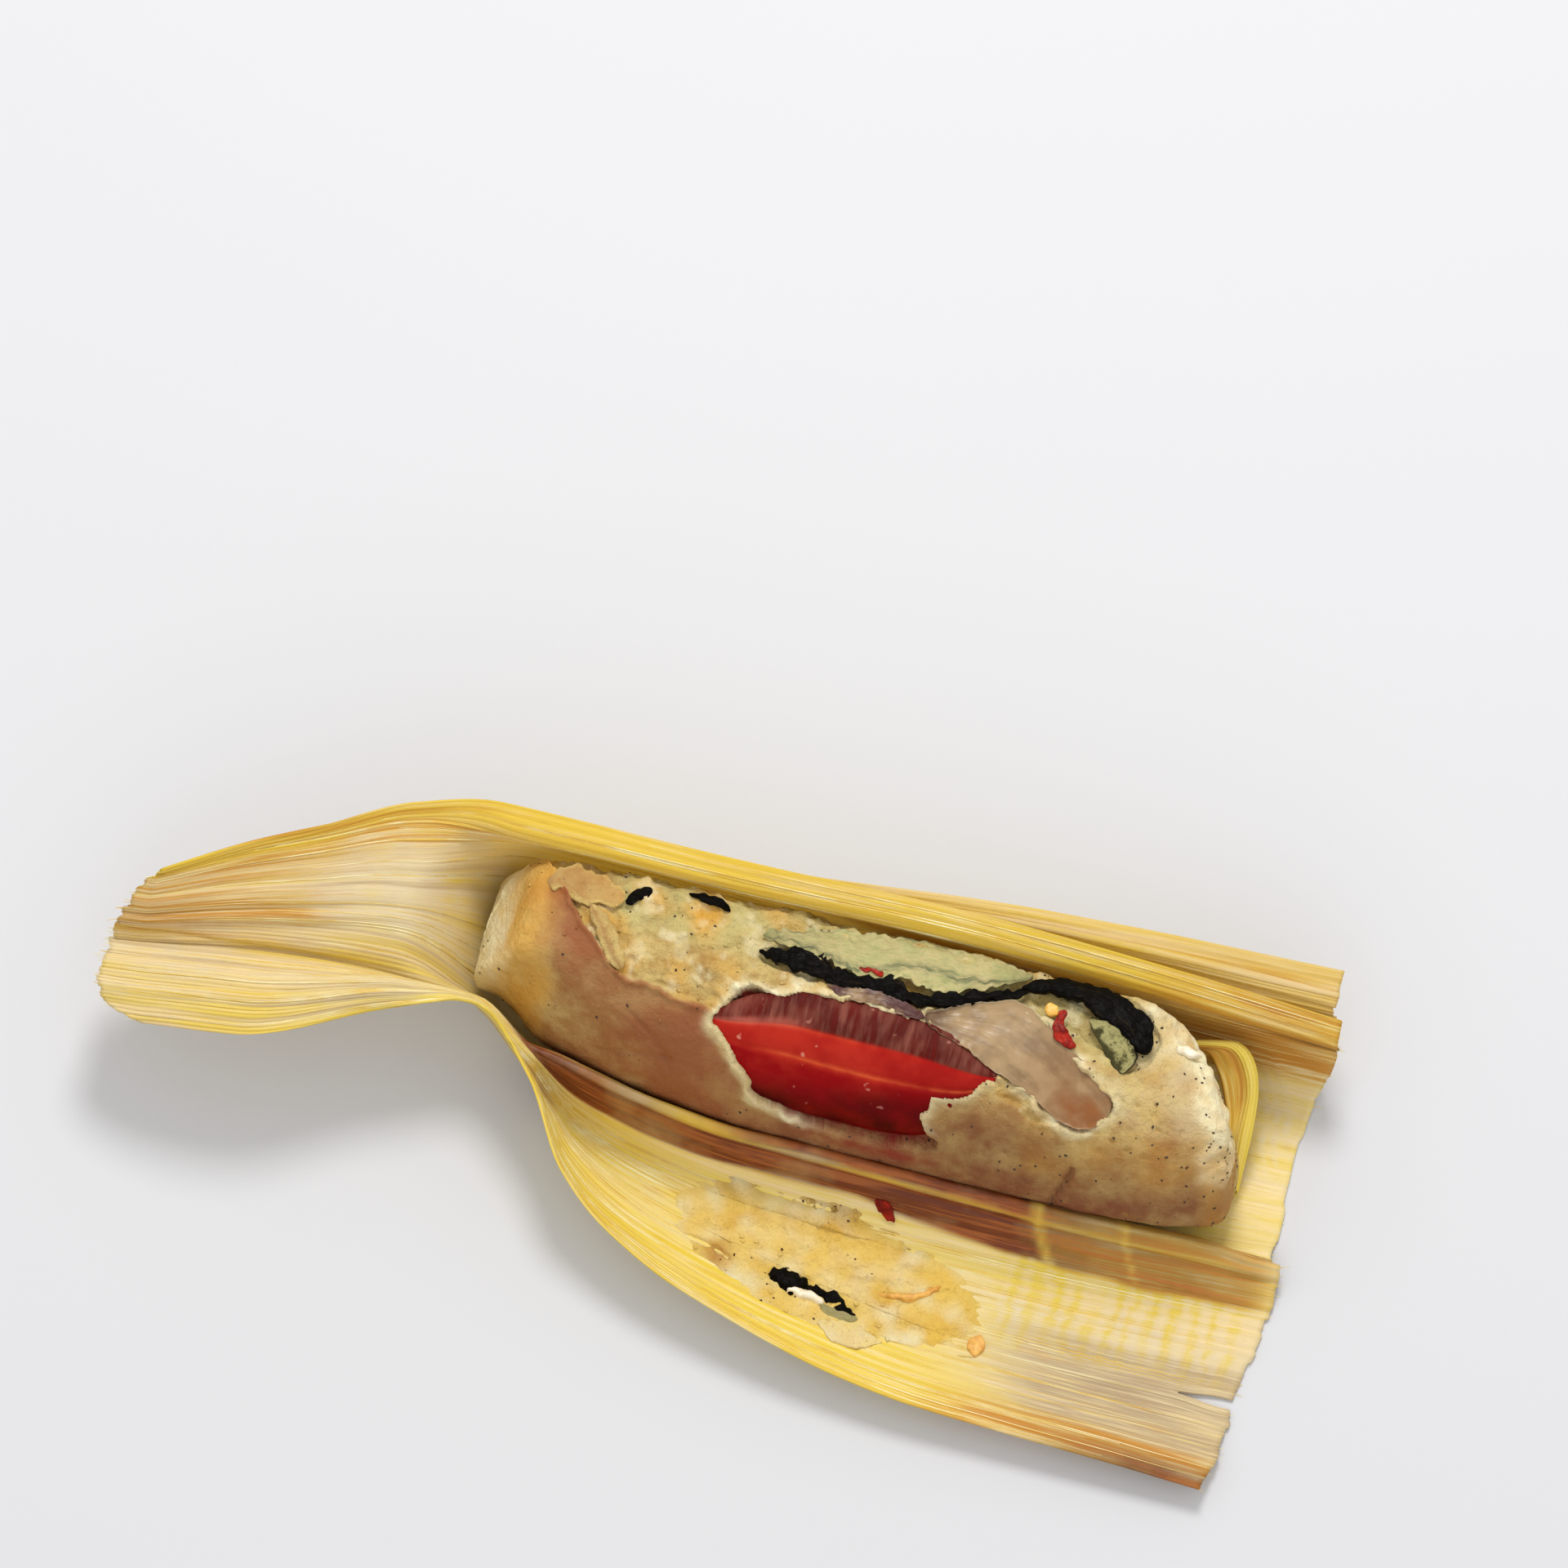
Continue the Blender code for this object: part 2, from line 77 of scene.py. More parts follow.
EDGE_Z = (
    (-130, 20), (-104, 24.5), (-70, 23), (-50, 19), (-38, 13.5), (-24, 11), (-3, 8.5), (25, 6), (80, 4),
)
TIP_TRIM = (
    (0, 6), (0.05, 5.4), (0.2, 3), (0.36, 1.7), (0.6, 0.2), (0.72, 0), (0.9, 0.8), (0.94, 2.2), (1, 9.5),
)
CUT_TRIM = ((0, 0.6), (0.2, 0), (0.36, 2.4), (0.52, 2.4), (0.7, 0.3), (0.82, 2.4), (0.92, 3), (1, 4.5))
TROUGH_SHARES = (0, 0.1, 0.32, 0.5, 0.58, 0.78, 0.88, 0.96, 1)
RIM_IN, RIM_DOWN = 4.2, 2.0
WALL_Y, WALL_Z = 23.4, 15.0
BACK_FOOT_Y, BACK_FOOT_Z = 18.5, 1.6
FLOOR_INSET = 5.0
FOLD_FOOT_IN, FOLD_FOOT_Z = 1.8, 2.2
FOLD_TOP_IN, FOLD_TOP_DOWN = 0.5, 2.2
CREST_AT = 0.62
ROUND_THE_CREST = (-0.0009, -0.0003, 0.0003, 0.0009)
VALLEY_AT = ((-130, 0.525), (-96, 0.597), (-60, 0.607))
RIM_CURL, RIM_CURL_TO, TAIL_BULGE, TAIL_LOBE = 0.9, 0.22, 3.0, 3.4
FLAP_OPEN_FROM, FLAP_OPEN_TO = 3.0, 24.0
FLAP_DROP, FLAP_LIFT, FLAP_REST = 7.0, 2.4, 1.2
HUSK_THICKNESS, LEAF_WALL = 0.8, 0.42

# The outer leaf behind the back wall
OUTER_FROM_X, OUTER_TO_X, OUTER_SLANT = -26.0, 78.0, 48.0
OUTER_TOP, OUTER_FOOT = 0.02, 0.3
OUTER_STANDOFF, OUTER_RISE = 1.5, 0.28
OUTER_REACH = ((-26, 0.8), (-10, 1.8), (24, 4.8), (78, 9.4))
OUTER_PLEATS, OUTER_RIBS = 8, 30

# The strip that curls round the masa's far end: its foot, the shelf above it, and its rolled rim's two sides
CURL_FOOT = (
    (51, 16.5, 11), (59.5, 16.8, 9), (62.4, 13.4, 6.5), (64, 8.6, 4), (64.8, 4, 2.4), (66.4, -2.6, 1.6),
)
CURL_SHELF = (
    (51.3, 16.5, 14.5), (57, 17.4, 14.8), (60.4, 14.8, 12.6), (62.8, 10.6, 9.8), (64.6, 5.2, 7),
    (66.2, -2.2, 3),
)
CURL_INNER = (
    (51.5, 17, 15), (60.6, 18.3, 16), (64.2, 15.6, 13.4), (65.6, 11.4, 10.4), (65.9, 6, 7.6),
    (66.8, -1.8, 3.4),
)
CURL_OUTER = (
    (52, 18, 14), (61.8, 19.8, 15.6), (66.2, 16.8, 13), (67.8, 11.8, 10), (68, 5.6, 7.2),
    (68.2, -2.8, 2.6),
)
CURL_RIM_UP, CURL_TURNED_IN = (0, 0, 0.8), (0.6, 0.2, 2.2)
CURL_RIBS = 11

# The masa: its section leans back, and its ends are rounded
MASA_SECTION = (
    (-13.2, 5), (-14.6, 12.4), (-7.4, 24.2), (1.5, 30.2), (11.5, 30.6), (20.8, 27.6), (21.2, 17),
    (18.9, 5.5), (13, 1.15), (-8.5, 1.15),
)
MASA_LEFT_X, MASA_RIGHT_X = MASA_LOW[0] - 5.2, MASA_HIGH[0] + 4.0
MASA_CENTRE = (3.5, 12.0)
MASA_HEIGHT, MASA_FOOT_Z, MASA_FROM_FOLD = 30.5, 1.15, 3.0
MASA_LEFT_IN = ((0, 5.2), (5, 3.7), (9, 1.8), (13, 1.7), (24, 6.8), (30.5, 9.6))
MASA_RIGHT_IN = ((-14, 0.4), (0, 1.7), (9, 5.9), (18, 12.4), (21, 14))
MASA_RIGHT_LEAN = 3.0
MASA_END_POWER, MASA_TAPER = 11.0, 0.04
MASA_COLUMNS, MASA_ROWS, MASA_CAP_COLUMNS = 322, 236, 14
# Where its columns stand, closest together at its ends, up to its middle: (share of the columns, place)
MASA_STATIONS = ((0, -0.9997), (0.018, -0.997), (0.045, -0.985), (0.085, -0.95), (0.5, 0))
MASA_LAST_PLACE, MASA_RIGHT_FACE = 0.9999, 0.985
MASA_MIDDLE_X, MASA_HALF_X = (MASA_RIGHT_X + MASA_LEFT_X) / 2, (MASA_RIGHT_X - MASA_LEFT_X) / 2

# Distance round the masa's section, from the foot of its front face, at each corner and back at the start
MASA_GIRTH = (0, 7.2, 20.8, 31.5, 41.1, 50.8, 61.8, 73.8, 81.6, 103.1, 109.8)

# The vegetables, as the solids have them
TOMATO_FROM_X, TOMATO_TO_X = -26.0, 24.5
TOMATO_RIDGE_Y = ((-26, -1), (-10, 2.2), (6, 2.2), (24.5, 0.6))
TOMATO_RIDGE_Z = ((-26, 28.6), (-8, 31.2), (8, 31.2), (24.5, 29.8))
TOMATO_SECTION = (
    (5.2, -0.9), (0, 0), (-5, -2.2), (-9.8, -7.4), (-13.2, -14.2), (-9, -17), (-2, -14), (4, -7),
)
TOMATO_TAPER, TOMATO_POINT = 3.0, 0.6
TOMATO_CUT_TO, TOMATO_LINE = 1.38, 2.32
SMEAR_MIDDLE, SMEAR_SUNK = (3.5, -34.0), 0.45
SMEAR_OUTLINE = (
    (-19.3, -21.5), (-9, -21.6), (1.2, -21.2), (7, -21.6), (14.6, -23.2), (21, -25), (26.8, -28.3),
    (30.8, -32.5), (32.7, -38.7), (31, -42), (22.6, -42.6), (12.8, -43.8), (4.6, -44.6), (-4.7, -42.6),
    (-11.3, -40), (-17, -37.6), (-22, -34.4), (-25, -32), (-25.5, -28.9), (-23.6, -24),
)


# --- Curves and noise -------------------------------------------------------------------------------------


def ease(x, start, end):
    """0 up to start, 1 from end, and smooth between them."""
    t = np.clip((x - start) / (end - start), 0, 1)
    return t * t * (3 - 2 * t)


def hump(x, start, end):
    """0 at start and end and beyond them, and 1 half-way."""
    return np.sin(pi * np.clip((x - start) / (end - start), 0, 1))


def band(x, start, end, soft):
    """1 from start to end, easing to 0 over the soft width on either side."""
    return ease(x, start - soft, start) * (1 - ease(x, end, end + soft))


def bell(x, middle, width):
    """1 at the middle, falling away to nothing about two widths from it."""
    return np.exp(-(((x - middle) / width) ** 2))


def curve_at(x, places, values):
    """A smooth curve's value at each x, through values at places, or through its own column of them."""
    at = np.asarray(places, float)
    rows = np.asarray(values, float)
    rows = rows if rows.ndim > 1 else rows[:, None]
    x = np.clip(np.ravel(x), at[0], at[-1])
    step = np.diff(at)
    rise = np.diff(rows, axis=0) / step[:, None]
    slope = np.concatenate([rise[:1], np.zeros_like(rise[1:]), rise[-1:]])
    product, total = rise[:-1] * rise[1:], rise[:-1] + rise[1:]
    slope[1:-1] = np.where(product > 0, 2 * product / np.where(product > 0, total, 1), 0)
    i = np.clip(np.searchsorted(at, x) - 1, 0, len(step) - 1)
    column = np.arange(len(x)) if rows.shape[1] > 1 else 0
    t = (x - at[i]) / step[i]
    return (
        rows[i, column] * (1 + 2 * t) * (1 - t) ** 2
        + slope[i, column] * step[i] * t * (1 - t) ** 2
        + rows[i + 1, column] * t * t * (3 - 2 * t)
        + slope[i + 1, column] * step[i] * t * t * (t - 1)
    )


def through(x, stations):
    """A smooth curve's value at each x, through (x, value) stations."""
    return curve_at(x, *zip(*stations))


def along_shares(t, values):
    """A smooth curve's value at each t, through values at even shares from 0 to 1."""
    return curve_at(t, np.linspace(0, 1, len(values)), values)


def closed_at(corners, places):
    """Points of a smooth closed curve through the corners, at places counted in corners."""
    corners = np.array(corners, float)
    i = np.floor(places).astype(int)
    t = (places - i)[:, None]
    before, start, end, after = (corners[(i + k) % len(corners)] for k in (-1, 0, 1, 2))
    return (
        start
        + 0.5 * t * (end - before)
        + t * t * (before - 2.5 * start + 2 * end - 0.5 * after)
        + t**3 * (1.5 * (start - end) + 0.5 * (after - before))
    )


def lumps(points, size, seed=0):
    """Smooth noise, about -1 to 1, in lumps of the given size."""
    places = np.asarray(points, float) / size
    if places.shape[1] == 2:
        places = np.column_stack([places, np.zeros(len(places))])
    places = places + np.array([17.3, 5.9, 11.1]) * seed
    return np.array([noise.noise(place) for place in places.tolist()])


def stretched(x, x_size, across, across_size, seed):
    """Noise in lumps of one size along the leaf and another across it."""
    return lumps(np.column_stack([x / x_size, across / across_size]), 1.0, seed)


def ripple(x, size, seed):
    """Noise in lumps of one size along a line."""
    return stretched(x, size, x * 0, 1, seed)


def from_segments(points, start, run):
    """Distance of each point from the nearest of several segments."""
    away = points[:, None] - start
    t = np.clip((away * run).sum(2) / (run**2).sum(1), 0, 1)
    return np.linalg.norm(away - t[..., None] * run, axis=2).min(1)


def from_line(points, line):
    """Distance of each point from a line through a few points."""
    line = np.array(line, float)
    return from_segments(points, line[:-1], np.diff(line, axis=0))


def depth_inside(points, outline, reach=7.0):
    """How far each point lies inside a smooth outline, and below 0 how far outside, down to -reach."""
    start = closed_at(outline, np.linspace(0, len(outline), 160, endpoint=False))
    run = np.roll(start, -1, 0) - start
    depth = np.full(len(points), -reach)
    near = (points > start.min(0) - reach).all(1) & (points < start.max(0) + reach).all(1)
    gap = from_segments(points[near], start, run)
    across, level = points[near][:, None, 0], points[near][:, None, 1]
    crosses = (start[:, 1] > level) != (start[:, 1] + run[:, 1] > level)
    slope = run[:, 0] / np.where(run[:, 1] == 0, 1, run[:, 1])
    ahead = across < start[:, 0] + (level - start[:, 1]) * slope
    within = (crosses & ahead).sum(1) % 2 == 1
    depth[near] = np.where(within, gap, -gap)
    return depth


# --- Meshes -----------------------------------------------------------------------------------------------


def pairs(first, second):
    """Every value of the first with every value of the second, as two flat arrays."""
    return [side.ravel() for side in np.meshgrid(first, second, indexing="ij")]


def grid_faces(columns, rows, closed=False):
    """The faces of a grid of points, as (columns, rows, 4). A closed one joins its last row to its first."""
    i, j = np.meshgrid(np.arange(columns - 1), np.arange(rows if closed else rows - 1), indexing="ij")
    following = (j + 1) % rows
    return np.stack([i * rows + j, i * rows + following, (i + 1) * rows + following, (i + 1) * rows + j], -1)


def grid_normals(points, rows):
    """Unit normals of rings of points, on the side that grid_faces turns from."""
    grid = points.reshape(-1, rows, 3)
    normal = np.cross(np.gradient(grid, axis=0), np.roll(grid, -1, 1) - np.roll(grid, 1, 1))
    normal /= np.maximum(np.linalg.norm(normal, axis=-1, keepdims=True), 1e-9)
    return normal.reshape(-1, 3)


def normals_at(surface, along, across, step=1e-3):
    """The unit normals of a surface of two values, upwards on a leaf."""
    d_along = surface(along + step, across) - surface(along - step, across)
    d_across = surface(along, across + step) - surface(along, across - step)
    normal = np.cross(d_across, d_along)
    return normal / np.linalg.norm(normal, axis=1, keepdims=True)


def raised(surface, along, across, height):
    """Points at a height over a surface, on the side that its normals point to."""
    return surface(along, across) + np.reshape(height, (-1, 1)) * normals_at(surface, along, across)


def put_in_scene(name, mesh):
    piece = bpy.data.objects.new(name, mesh)
    bpy.context.scene.collection.objects.link(piece)
    return piece


def set_attribute(mesh, name, values):
    layer = mesh.attributes.new(name, "FLOAT", "POINT")
    layer.data.foreach_set("value", values.astype(np.float32))


def make_piece(name, points, faces, finish, zones, fibres=None):
    """A smooth-shaded object from points in millimetres, with an attribute for each zone and a UV map."""
    used, index = np.unique(np.concatenate([np.ravel(face) for face in faces]), return_inverse=True)
    corners = np.split(index, np.cumsum([len(face) for face in faces])[:-1])
    mesh = bpy.data.meshes.new(name)
    mesh.from_pydata((np.asarray(points)[used] * MM).tolist(), [], [face.tolist() for face in corners])
    for zone, shares in zones.items():
        set_attribute(mesh, zone, np.broadcast_to(np.clip(shares, 0, 1), len(points))[used])
    if fibres is not None:
        layer = mesh.uv_layers.new(name="fibres")
        layer.data.foreach_set("uv", fibres[used][index].astype(np.float32).ravel())
    mesh.materials.append(finish)
    mesh.shade_smooth()
    mesh.update()
    return put_in_scene(name, mesh)


def settled(piece):
    """The piece as its modifiers leave it, with none left on it."""
    graph = bpy.context.evaluated_depsgraph_get()
    mesh = bpy.data.meshes.new_from_object(piece.evaluated_get(graph))
    piece.modifiers.clear()
    raw, piece.data = piece.data, mesh
    bpy.data.meshes.remove(raw)
    return piece


def make_leaf(name, points, rows, finish, zones, fibres, torn=None):
    """A leaf of an even wall, half to each side of a grid of points, without its torn faces."""
    faces = grid_faces(len(points) // rows, rows)
    faces = faces.reshape(-1, 4) if torn is None else faces[~torn]
    piece = make_piece(name, points, faces, finish, zones, fibres)
    solidify = piece.modifiers.new("wall", "SOLIDIFY")
    solidify.thickness = LEAF_WALL * MM
    solidify.offset = 0
    solidify.use_even_offset = False
    return settled(piece)


def make_body(name, points, rows, finish, zones, fibres=None):
    """A closed body through rings of points, with a point at the middle of each end, its faces outwards."""
    start, last = len(points), len(points) - rows
    end = start + 1

    def capped(values):
        values = np.broadcast_to(values, (start, *np.shape(values)[1:]))
        return np.concatenate([values, [values[:rows].mean(0), values[last:].mean(0)]])

    quads = grid_faces(start // rows, rows, closed=True).reshape(-1, 4)
    following = (np.arange(rows) + 1) % rows
    caps = [np.array([start, following[j], j]) for j in range(rows)]
    caps += [np.array([end, last + j, last + following[j]]) for j in range(rows)]
    points = capped(points)
    away = points[quads] - points.mean(0)
    if (away[:, 0] * np.cross(away[:, 1], away[:, 2])).sum() < 0:
        quads, caps = quads[:, ::-1], [cap[::-1] for cap in caps]
    zones = {zone: capped(shares) for zone, shares in zones.items()}
    fibres = None if fibres is None else capped(fibres)
    return make_piece(name, points, [*quads, *caps], finish, zones, fibres)


# --- Trees of nodes ---------------------------------------------------------------------------------------


def linear(red, green, blue):
    """A colour given as 0 to 255 on a screen, as the shaders take it."""
    shares = np.array([red, green, blue]) / 255
    return (*np.where(shares < 0.0405, shares / 12.92, ((shares + 0.055) / 1.055) ** 2.4), 1.0)


class Wire:
    """A value in a tree of nodes. An expression on it adds the Math nodes that work it out."""

    def __init__(self, tree, socket):
        self.tree, self.socket = tree, socket

    def maths(self, operation, *values):
        return self.tree.add("ShaderNodeMath", {"operation": operation}, dict(enumerate(values)))

    def __add__(self, other):
        return self.maths("ADD", self, other)

    def __radd__(self, other):
        return self.maths("ADD", other, self)

    def __sub__(self, other):
        return self.maths("SUBTRACT", self, other)

    def __rsub__(self, other):
        return self.maths("SUBTRACT", other, self)

    def __mul__(self, other):
        return self.maths("MULTIPLY", self, other)

    def __rmul__(self, other):
        return self.maths("MULTIPLY", other, self)

    def rise(self, low, high):
        """0 where this is under low, 1 over high, and smooth between them."""
        values = {"Value": self, "From Min": low, "From Max": high}
        return self.tree.add("ShaderNodeMapRange", {"interpolation_type": "SMOOTHSTEP"}, values)

    def kept(self):
        """This, kept from 0 to 1."""
        return self.tree.add("ShaderNodeMath", {"operation": "ADD", "use_clamp": True}, {0: self, 1: 0.0})


class Tree:
    """A tree of nodes being built."""

    def __init__(self, tree):
        self.tree = tree

    def add(self, kind, settings=None, values=None, output=0):
        """A node of a kind, with its settings and its sockets' values or wires. Gives one of its outputs."""
        made = self.tree.nodes.new(kind)
        for name, value in (settings or {}).items():
            setattr(made, name, value)
        for place, value in (values or {}).items():
            if isinstance(value, Wire):
                self.tree.links.new(value.socket, made.inputs[place])
            else:
                made.inputs[place].default_value = value
        return Wire(self, made.outputs[output]) if made.outputs else None


class Finish(Tree):
    """The material of a surface."""

    def __init__(self, name):
        self.material = bpy.data.materials.new(name)
        self.material.use_nodes = True
        super().__init__(self.material.node_tree)
        self.tree.nodes.clear()

    def attribute(self, name):
        return self.add("ShaderNodeAttribute", {"attribute_name": name}, output=2)

    def scaled(self, place, *scale):
        return self.add("ShaderNodeVectorMath", {"operation": "MULTIPLY"}, {0: place, 1: scale})

    def here(self, *scale):
        """Object coordinates, in metres, stretched along each axis."""
        place = self.add("ShaderNodeTexCoord", output=3)
        return self.scaled(place, *scale) if scale else place

    def along_fibres(self, along, across):
        """The piece's UV map, in centimetres along the fibres and about as much across, scaled each way."""
        return self.scaled(self.add("ShaderNodeUVMap", {"uv_map": "fibres"}), along, across, 0.0)

    def noise(self, place, scale, detail=3.0, roughness=0.55):
        """Noise round 0, about -0.25 to 0.25, in lumps of 1 / scale."""
        values = {"Vector": place, "Scale": scale, "Detail": detail, "Roughness": roughness}
        return self.add("ShaderNodeTexNoise", None, values) - 0.5

    def mixed(self, share, colour, other):
        """One colour at share 0 and the other at share 1."""
        values = {0: share.kept(), 6: colour, 7: other}
        return self.add("ShaderNodeMix", {"data_type": "RGBA"}, values, output=2)

    def patched(self, colour, *patches):
        """A colour with zones laid over it in turn, each as (attribute, strength, the zone's colour)."""
        for zone, strength, patch in patches:
            colour = self.mixed(self.attribute(zone) * strength, colour, patch)
        return colour

    def end(self, colour, roughness, relief, depth, constants=None, glow=None, glow_share=0.0):
        """Ends the tree: depth is the relief's size in metres, and glow the colour of light let through."""
        bump = self.add("ShaderNodeBump", None, {"Distance": depth, "Height": relief})
        values = {"Base Color": colour, "Roughness": roughness, "Normal": bump}
        shader = self.add("ShaderNodeBsdfPrincipled", None, {**values, **(constants or {})})
        if glow is not None:
            let_through = self.add("ShaderNodeBsdfTranslucent", None, {"Color": glow})
            shader = self.add("ShaderNodeMixShader", None, {0: glow_share, 1: shader, 2: let_through})
        self.add("ShaderNodeOutputMaterial", None, {"Surface": shader})
        return self.material


class Growth(Tree):
    """A tree of Geometry Nodes with named inputs for its sizes, run on a base to make a plain mesh piece."""

    def __init__(self, name, **sizes):
        self.group = bpy.data.node_groups.new(name, "GeometryNodeTree")
        super().__init__(self.group)
        sockets = self.group.interface
        sockets.new_socket("Geometry", in_out="OUTPUT", socket_type="NodeSocketGeometry")
        sockets.new_socket("Base", in_out="INPUT", socket_type="NodeSocketGeometry")
        kinds = {int: "NodeSocketInt", float: "NodeSocketFloat", str: "NodeSocketMaterial"}
        self.places = {
            label: sockets.new_socket(label, in_out="INPUT", socket_type=kinds[type(size)]).identifier
            for label, size in sizes.items()
        }
        self.start = self.tree.nodes.new("NodeGroupInput")
        self.base = self.size("Base")

    def size(self, label):
        return Wire(self, self.start.outputs[label])

    def end(self, geometry):
        """Ends the tree with whole, smooth meshes in the finish given."""
        whole = self.add("GeometryNodeRealizeInstances", None, {"Geometry": geometry})
        smooth = self.add("GeometryNodeSetShadeSmooth", None, {"Geometry": whole})
        values = {"Geometry": smooth, "Material": self.size("Finish")}
        self.add("NodeGroupOutput", None, {0: self.add("GeometryNodeSetMaterial", None, values)})
        return self

    def run(self, base, **values):
        """Grows a base, which becomes the piece."""
        modifier = base.modifiers.new("growth", "NODES")
        modifier.node_group = self.group
        for label, value in values.items():
            modifier[self.places[label]] = value
        return settled(base)


def sown_tree():
    """Small lumps sown over a base, thickest where its attribute sown is 1, turned and sized at random."""
    tree = Growth("sown", Density=1.0, Smallest=1.0, Largest=1.0, Flatness=1.0, Seed=1, Facets=1, Finish="")
    sown = tree.add("GeometryNodeInputNamedAttribute", {"data_type": "FLOAT"}, {"Name": "sown"})
    spread = {"Mesh": tree.base, "Density": tree.size("Density") * sown, "Seed": tree.size("Seed")}
    places = tree.add("GeometryNodeDistributePointsOnFaces", None, spread)
    upright = Wire(tree, places.socket.node.outputs["Rotation"])
    ball = {"Radius": 0.5 * MM, "Subdivisions": tree.size("Facets")}
    lump = tree.add("GeometryNodeMeshIcoSphere", None, ball)
    dents = tree.add("ShaderNodeTexNoise", None, {"Scale": 1.7 / MM, "Detail": 1.0}, output=1)
    dented = tree.add("ShaderNodeVectorMath", {"operation": "SUBTRACT"}, {0: dents, 1: (0.5, 0.5, 0.5)})
    offset = tree.add("ShaderNodeVectorMath", {"operation": "MULTIPLY"}, {0: dented, 1: (0.6 * MM,) * 3})
    lump = tree.add("GeometryNodeSetPosition", None, {"Geometry": lump, "Offset": offset})
    size_range = {2: tree.size("Smallest"), 3: tree.size("Largest"), "Seed": tree.size("Seed")}
    size = tree.add("FunctionNodeRandomValue", {"data_type": "FLOAT"}, size_range, output=1)
    shape = tree.add("ShaderNodeCombineXYZ", None, {0: size, 1: size * 0.7, 2: size * tree.size("Flatness")})
    put = {"Points": places, "Instance": lump, "Rotation": upright, "Scale": shape}
    turn_range = {0: (-0.4, -0.4, -pi), 1: (0.4, 0.4, pi)}
    turn = tree.add("FunctionNodeRandomValue", {"data_type": "FLOAT_VECTOR"}, turn_range)
    placed = tree.add("GeometryNodeInstanceOnPoints", None, put)
    return tree.end(tree.add("GeometryNodeRotateInstances", None, {"Instances": placed, "Rotation": turn}))


def drawn_tree():
    """Threads along the edges of a base, as thick at each point as its attribute thick says."""
    tree = Growth("drawn", Thickness=1.0, Sides=4, Finish="")
    thick = tree.add("GeometryNodeInputNamedAttribute", {"data_type": "FLOAT"}, {"Name": "thick"})
    path = tree.add("GeometryNodeMeshToCurve", None, {"Mesh": tree.base})
    ring = {"Resolution": tree.size("Sides"), "Radius": 0.5 * MM}
    profile = tree.add("GeometryNodeCurvePrimitiveCircle", {"mode": "RADIUS"}, ring)
    scale = thick * tree.size("Thickness")
    run = {"Curve": path, "Profile Curve": profile, "Scale": scale, "Fill Caps": True}
    return tree.end(tree.add("GeometryNodeCurveToMesh", None, run))


def lines_base(name, lines, thick):
    """A base of lines of points in millimetres, each with its thickness at every point."""
    mesh = bpy.data.meshes.new(name)
    starts = np.cumsum([0] + [len(line) for line in lines[:-1]])
    edges = np.concatenate([
        np.column_stack([np.arange(len(line) - 1), np.arange(1, len(line))]) + start
        for line, start in zip(lines, starts)
    ])
    mesh.from_pydata((np.concatenate(lines) * MM).tolist(), edges.tolist(), [])
    set_attribute(mesh, "thick", np.concatenate(thick))
    return put_in_scene(name, mesh)


def sown_base(name, piece, where):
    """A copy of a piece whose attribute sown says how thickly it is sown, from its points and normals."""
    mesh = piece.data.copy()
    points = np.empty(len(mesh.vertices) * 3, np.float32)
    normals = np.empty_like(points)
    mesh.vertices.foreach_get("co", points)
    mesh.vertices.foreach_get("normal", normals)
    set_attribute(mesh, "sown", where(points.reshape(-1, 3) / MM, normals.reshape(-1, 3)))
    return put_in_scene(name, mesh)


# --- Finishes ---------------------------------------------------------------------------------------------

HUSK_PALE = linear(238, 217, 166)
HUSK_GOLD = linear(234, 207, 76)
HUSK_AMBER = linear(204, 144, 58)
HUSK_WHITE = linear(230, 216, 182)
HUSK_GREY = linear(188, 166, 132)
# A brownish tone of the husk, and painted shade: under the lip's crest and in the hollow where the tail
# meets the flap
HUSK_BROWN_AND_SHADE = linear(106, 46, 16)
HUSK_WARM_BROWN_AND_SHADE = linear(156, 86, 36)
HUSK_GLOW = linear(250, 228, 138)
VEIN_GOLD = linear(220, 184, 78)
VEIN_PALE = linear(236, 226, 176)
SATIN = {"Specular IOR Level": 0.35}


